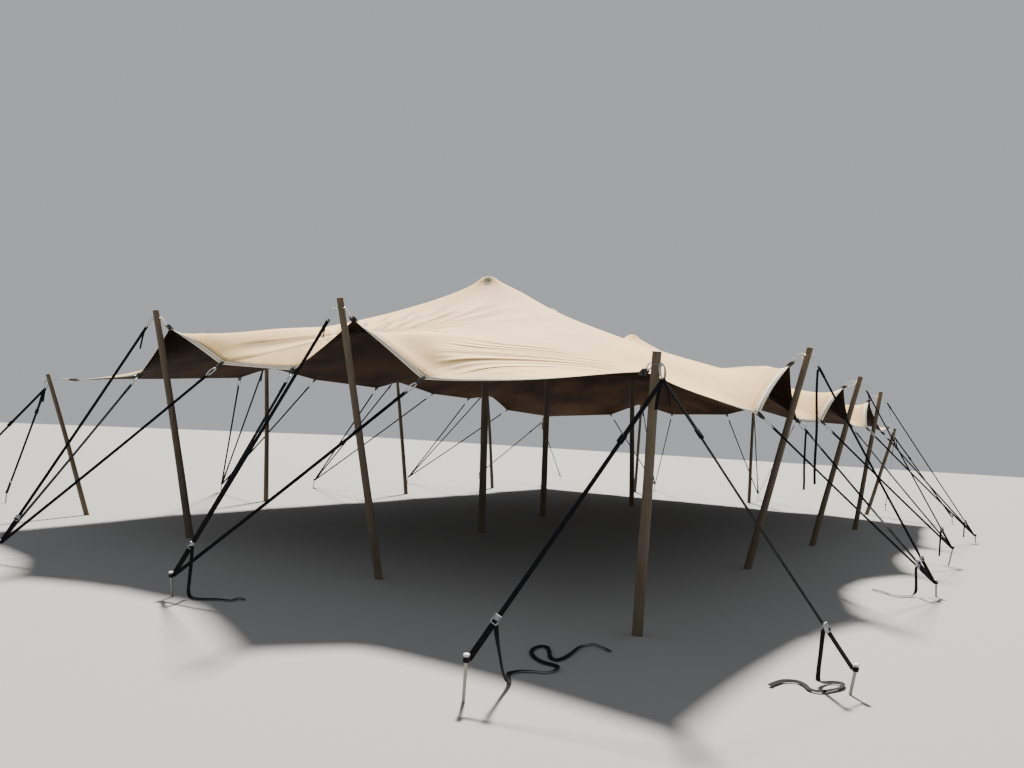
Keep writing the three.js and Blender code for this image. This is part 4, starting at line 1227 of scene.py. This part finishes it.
def leanOf(stake):  # from upright at the origin to the stake's own place, level faces staying level
    x, y, height, leanX, leanY = (*stake, 0, 0)[:5]
    return Matrix((
        (1, 0, -leanX / height, x + leanX), (0, 1, -leanY / height, y + leanY), (0, 0, 1, 0), (0, 0, 0, 1),
    ))


def makeStake(name, spot):
    height = spot[2]
    shaft, head = stakeLook["shaftRadius"], stakeLook["headRadius"]
    shoulder = height - stakeLook["headHeight"]
    bm = newPiece()
    body = [(0, 0), (shaft - 0.001, 0), (shaft, 0.002), (shaft, shoulder - 0.012), (shaft + 0.003, shoulder - 0.006)]
    body += [(shaft + 0.004, shoulder - 0.0005), (0, shoulder - 0.0005)]
    addTurned(bm, body, leanOf(spot), sides=20)
    crown = [(0, shoulder), (head - 0.002, shoulder), (head, shoulder + 0.002), (head, shoulder + 0.007)]
    crown += [(head - 0.002, shoulder + 0.011), (head * 0.7, height - 0.0015), (head * 0.35, height), (0, height)]
    addTurned(bm, crown, leanOf(spot), sides=24, slot=1)
    stake = finishPiece(name, bm, [stakeSteel, paleHeadPaintedGlint], stands=[name])


for name, pole in sidePoles.items():
    makeStake(f"stake_{name}", pole["stake"])
for name, pole in cornerPoles.items():
    for k, spot in enumerate(pole["stakes"]):
        makeStake(f"stake_corner_{name}_{k + 1}", spot)
print("stakes")


# ---- rigging: rings, loops, clamps, straps and ratchets
rigging = {
    "ringDrop": 0.102, "ringRadius": 0.0425, "eyeReach": 0.022, "ropeWidth": 0.014, "loopSpread": 0.070, "loopArch": 0.008,
    "linkWidth": 0.060, "linkLength": 0.120, "linkThickness": 0.013, "headRoll": 55.0, "lowRoll": 40.0,
    "headLoop": 0.150, "lowLoop": 0.150, "stakeDrop": 0.040,
    "strapWidth": 0.032, "doubledWidth": 0.038, "strapThickness": 0.003, "strapFace": (-0.72, -0.62, 0.30), "faceSpread": 0.22,
    "clampLength": 0.118, "clampWidth": 0.064, "clampGrip": 0.042,
    "ratchetFromStake": 0.340, "ratchetLength": 0.100,
}
spareEnds = {"right_2": 0.40, "right_3": 0.30}  # short spare ends that hang from a ratchet


def ringOf(pole):
    foot, top = Vector(pole["foot"]), Vector(pole["top"])
    axis = top - foot
    share = 1 - rigging["ringDrop"] / axis.length
    return {"centre": foot.lerp(top, share), "axis": axis.normalized(), "reach": rigging["ringRadius"] + rigging["eyeReach"]}


def stakeRing(spot):
    place = leanOf(spot) @ Matrix.Translation((0, 0, spot[2] - rigging["stakeDrop"]))
    return {"centre": place.translation, "axis": up, "reach": 0.0184, "place": place}


def ringEdge(ring, target):
    along = Vector(target) - ring["centre"]
    along = (along - ring["axis"] * along.dot(ring["axis"])).normalized()
    return ring["centre"] + along * ring["reach"]


def addRing(bm, ring):  # a thin wire round the pole
    side = ring["axis"].orthogonal().normalized()
    other = ring["axis"].cross(side)
    points = []
    steps = 30
    for k in range(steps + 1):
        angle = 2 * math.pi * k / steps
        points.append(ring["centre"] + (side * math.cos(angle) + other * math.sin(angle)) * rigging["ringRadius"])
    frames, runs = framesAlong(points)
    addSweep(bm, frames, runs, 0.003, sides=6)


def addEye(bm, ring, target):  # an eye on the wire, at the side that faces the loop
    tip = ringEdge(ring, target)
    outward = (tip - ring["centre"]).normalized()
    middle = tip - outward * 0.010
    points = []
    for k in range(15):
        angle = 2 * math.pi * k / 14
        points.append(middle + (outward * math.cos(angle) + ring["axis"] * math.sin(angle)) * 0.013)
    frames, runs = framesAlong(points, across=ring["axis"].cross(outward))
    addSweep(bm, frames, runs, 0.011, sides=8)


def addLoop(bm, start, end, spread, thickness, arch=0.0, roll=0.0):  # two strands and a round end
    place, length = placeAlong(start, end)
    lean = Matrix.Rotation(math.radians(roll), 3, "Z")
    half = spread / 2
    turn = half * 0.5
    side = [(turn * 0.4, -0.5), (half * 0.7, -0.3), (half, -0.05), (half * 0.85, 0.2)]
    local = [(-x, 0, share * length) for x, share in side]
    local += [(-turn * math.cos(a), 0, length / 2 - turn + turn * math.sin(a)) for a in np.linspace(0, math.pi, 7)]
    local += [(x, 0, share * length) for x, share in reversed(side)]
    local = [
        lean @ Vector(p) - Vector((0, arch * math.sin(math.pi * min(max(p[2] / length + 0.5, 0), 1)), 0))
        for p in local
    ]
    points = [place @ Vector(p) for p in splinePoints(local, 2)]
    across = place.to_3x3() @ lean @ Vector((0, 1, 0))
    frames, runs = framesAlong(points, across=across)
    addSweep(bm, frames, runs, thickness, sides=8)


def addLink(bm, top, bottom, width, thickness, facing):  # a closed steel link, pear shaped
    place, length = placeAlong(top, bottom, facing)
    points = []
    for k in range(29):
        angle = 2 * math.pi * k / 28
        share = 0.5 - 0.5 * math.cos(angle)
        swell = 0.5 * width * (1.12 - 0.35 * share)
        points.append(place @ Vector((swell * math.sin(angle), 0, length * (share - 0.5))))
    across = place.to_3x3() @ Vector((0, 1, 0))
    frames, runs = framesAlong(points, across=across)
    addSweep(bm, frames, runs, thickness, sides=10)


def addTail(bm, start, length, lean, across=None):  # a strap's short spare end
    points = [Vector(start) + Vector((lean.x, lean.y, 0)) * (0.35 * length * share ** 0.7) - up * (length * share)
              for share in (0, 0.15, 0.35, 0.6, 0.8, 1)]
    frames, runs = framesAlong(splinePoints(points, 2), across)
    addSweep(bm, frames, runs, rigging["strapWidth"] * 0.94, rigging["strapThickness"])


def addStrap(bm, start, end, facing, width=None, thickness=None):
    place, length = placeAlong(start, end, facing)
    steps = max(2, int(length / 0.25))
    width, thickness = width or rigging["strapWidth"], thickness or rigging["strapThickness"]
    base = place @ Matrix.Translation((0, 0, -length / 2))
    frames, runs = [], []
    for k in range(steps + 1):
        share = k / steps
        sag = 0.0035 * length * math.sin(math.pi * share)
        frames.append(Matrix.Translation((0, 0, -sag)) @ base @ Matrix.Translation((0, 0, length * share)))
        runs.append(length * share)
    addSweep(bm, frames, runs, width, thickness)


def addRatchet(bm, outer, inner, facing, webs):
    place, length = placeAlong(outer, inner, facing)
    length *= 0.60
    half = 0.0178
    for side in (-1, 1):
        addBlock(bm, place @ Matrix.Translation((side * half, -0.004, 0)), (0.0025, 0.022, length), 0.001)
        handle = place @ Matrix.Translation((side * (half + 0.0030), -0.014, -0.010)) @ Matrix.Rotation(0.12, 4, "X")
        addBlock(bm, handle, (0.0022, 0.014, length * 0.8), 0.0009)
        gear = place @ Vector((side * (half + 0.0015), -0.005, 0.008))
        addRod(bm, gear, place @ Vector((side * (half + 0.0065), -0.005, 0.008)), 0.013, sides=12)
    for depth, radius, height in ((-0.024, 0.0045, -0.004), (0.026, 0.004, -0.004), (-0.029, 0.005, -0.016)):
        a, b = place @ Vector((-half - 0.004, height, depth)), place @ Vector((half + 0.004, height, depth))
        addRod(bm, a, b, radius, sides=12)
    addRod(webs, place @ Vector((-0.0162, -0.005, 0.008)), place @ Vector((0.0162, -0.005, 0.008)), 0.013, sides=18)
    addBlock(bm, place @ Matrix.Translation((0, -0.0195, -0.008)), (0.032, 0.002, 0.028), 0.0009)


def addClamp(bm, metal, spot, towards, longer=0.0):
    spot, towards = Vector(spot), Vector(towards)
    along = (towards - spot).normalized()
    inner = spot - along * (rigging["clampGrip"] + longer)
    outer = inner + along * (rigging["clampLength"] + longer)
    place, length = placeAlong(inner, outer)
    width = rigging["clampWidth"]
    for side in (-1, 1):
        plate = place @ Matrix.Translation((0, side * 0.0085, -0.012))
        addBlock(bm, plate, (width, 0.011, length - 0.024), 0.004)
        rib = place @ Matrix.Translation((0, side * 0.0165, -0.030))
        addBlock(bm, rib, (width * 0.62, 0.006, length * 0.45), 0.0025)
    addBlock(bm, place @ Matrix.Translation((0, 0, length / 2 - 0.022)), (width * 0.66, 0.022, 0.040), 0.005)
    for x, z in ((-0.019, -0.030), (0.019, -0.030), (0.0, 0.018)):
        addRod(metal, place @ Vector((x, -0.0215, z)), place @ Vector((x, 0.0215, z)), 0.0042, sides=8)
    return outer, along


spareJoined = set()


def joinSpare(bm, places):  # a spare end leaves its strap where it comes out of the ratchet or the eye
    joined = False
    for spot in places:
        for name, route in looseStraps.items():
            exit = Vector(route[0])
            if (exit - spot).length < 0.13 and name not in spareJoined:
                spareJoined.add(name)
                frames, runs = framesAlong([spot, spot.lerp(exit, 0.6) - up * 0.004, exit, Vector(route[1]).lerp(exit, 0.9)])
                addSweep(bm, frames, runs, looseLook["width"], looseLook["thickness"] * 1.6)
                joined = True
    return joined


def addGuy(parts, start, loopLength, hold, arch=0.0, roll=0.0, tail=0.0, doubled=0.16, ratchet=True, spare=0.0, turn=0.0):
    foot = ringEdge(hold, start)
    along = (foot - start).normalized()
    end = start + along * loopLength
    if loopLength:
        addLoop(parts["rope"], start, end, rigging["loopSpread"], rigging["ropeWidth"], arch, roll)
    eye = end - along * (0.012 if loopLength else 0.0)
    spread = rigging["faceSpread"]
    facing = Vector(rigging["strapFace"]) + Vector([chance.uniform(-spread, spread) for _ in range(3)])
    facing = Matrix.Rotation(math.radians(turn), 3, along) @ facing
    addStrap(parts["webbing"], eye, foot, facing)
    addStrap(parts["webbing"], eye - along * 0.006, eye + along * doubled, facing, rigging["strapWidth"] + 0.001, 0.011)
    if not loopLength:
        place, length = placeAlong(eye, foot, facing)
        joint = Matrix.Translation((0, 0, doubled - length / 2))
        addBlock(parts["webbing"], place @ joint, (0.050, 0.018, 0.085), 0.004)
    if tail:
        addTail(parts["webbing"], eye + along * 0.05 - up * 0.012, tail, along)
    outer = foot - along * rigging["ratchetFromStake"]
    inner = outer + along * rigging["ratchetLength"]
    joined = joinSpare(parts["webbing"], (eye + along * 0.03, outer.lerp(inner, 0.35)))
    if ratchet or joined:
        addStrap(parts["webbing"], inner - along * 0.05, foot, facing, rigging["doubledWidth"], 0.012)
        addRatchet(parts["steel"], outer, inner, facing, parts["webbing"])
    if spare:
        addTail(parts["webbing"], outer.lerp(inner, 0.35) - up * 0.012, spare, along * -0.3, looseLook["across"])
    return end


def newParts():
    return {name: newPiece() for name in ("webbing", "rope", "steel", "clamp")}


def finishParts(label, parts, node):
    looks = {"webbing": (webbing, "webbing"), "rope": (rope, "webbing"), "steel": (steel, "stake_steel"), "clamp": (clampPlastic, "webbing")}
    names = {"webbing": "straps", "rope": "loops", "steel": "ratchets", "clamp": "clamps"}
    for kind, bm in parts.items():
        piece = finishPiece(f"{names[kind]}_{label}", bm, [looks[kind][0]], stands=[node])


def addHold(parts, ring, spot, longer=0.0, spread=1.0):
    start = ringEdge(ring, spot)
    outer, along = addClamp(parts["clamp"], parts["steel"], spot, start, longer)
    width = rigging["loopSpread"] * spread
    addLoop(parts["rope"], start, outer - along * 0.012, width, rigging["ropeWidth"], 0.006, rigging["headRoll"])


def addStakeEye(parts, hold):
    addTurned(parts["webbing"], [(0.0145, -0.013), (0.0195, -0.013), (0.0195, 0.013), (0.0145, 0.013), (0.0145, -0.013)],
              hold["place"], sides=20)


chance = random.Random(5)
for name, pole in sidePoles.items():
    parts = newParts()
    ring, hold = ringOf(pole), stakeRing(pole["stake"])
    addRing(parts["steel"], ring)
    addEye(parts["rope"], ring, hold["centre"])
    addEye(parts["rope"], ring, pole["high"])
    addStakeEye(parts, hold)
    addGuy(
        parts, ringEdge(ring, hold["centre"]), rigging["headLoop"], hold, rigging["loopArch"], rigging["headRoll"],
        tail=0.0 if name == "right_1" else chance.uniform(0.10, 0.24), spare=spareEnds.get(name, 0.0),
    )
    addHold(parts, ring, pole["high"])
    for low in pole["lows"]:
        outer, along = addClamp(parts["clamp"], parts["steel"], low, hold["centre"])
        addGuy(parts, outer - along * 0.010, rigging["lowLoop"], hold, 0.004, rigging["lowRoll"], ratchet=False)
    finishParts(name, parts, f"rigging_{name}")
for name, pole in cornerPoles.items():
    parts = newParts()
    ring = ringOf(pole)
    addRing(parts["steel"], ring)
    addEye(parts["rope"], ring, pole["sheet"])
    addHold(parts, ring, pole["sheet"], 0.025, 0.5)
    ways = [(Vector(spot[:3]) - ring["centre"]) * Vector((1, 1, 0)) for spot in pole["stakes"]]
    outward = (ways[0].normalized() * 0.35 + ways[1].normalized()).normalized()
    hang = ringEdge(ring, ring["centre"] + outward)
    addEye(parts["rope"], ring, ring["centre"] + outward)
    low = hang + outward * 0.022 - up * rigging["linkLength"]
    across = outward.cross(up) * 0.006
    for side in (-1, 1):
        addLink(
            parts["steel"], hang + up * 0.006 + across * side, low - across * side, rigging["linkWidth"],
            rigging["linkThickness"], outward + across * side * 20,
        )
    for spot, tail, doubled, turn in zip(pole["stakes"], (0.20, 0.16), (0.70, 0.52), (0.0, -28.0)):
        hold = stakeRing(spot)
        addStakeEye(parts, hold)
        addGuy(parts, low + up * 0.006, 0.0, hold, tail=tail, doubled=doubled, turn=turn)
    finishParts(f"corner_{name}", parts, f"rigging_corner_{name}")
print("rigging")
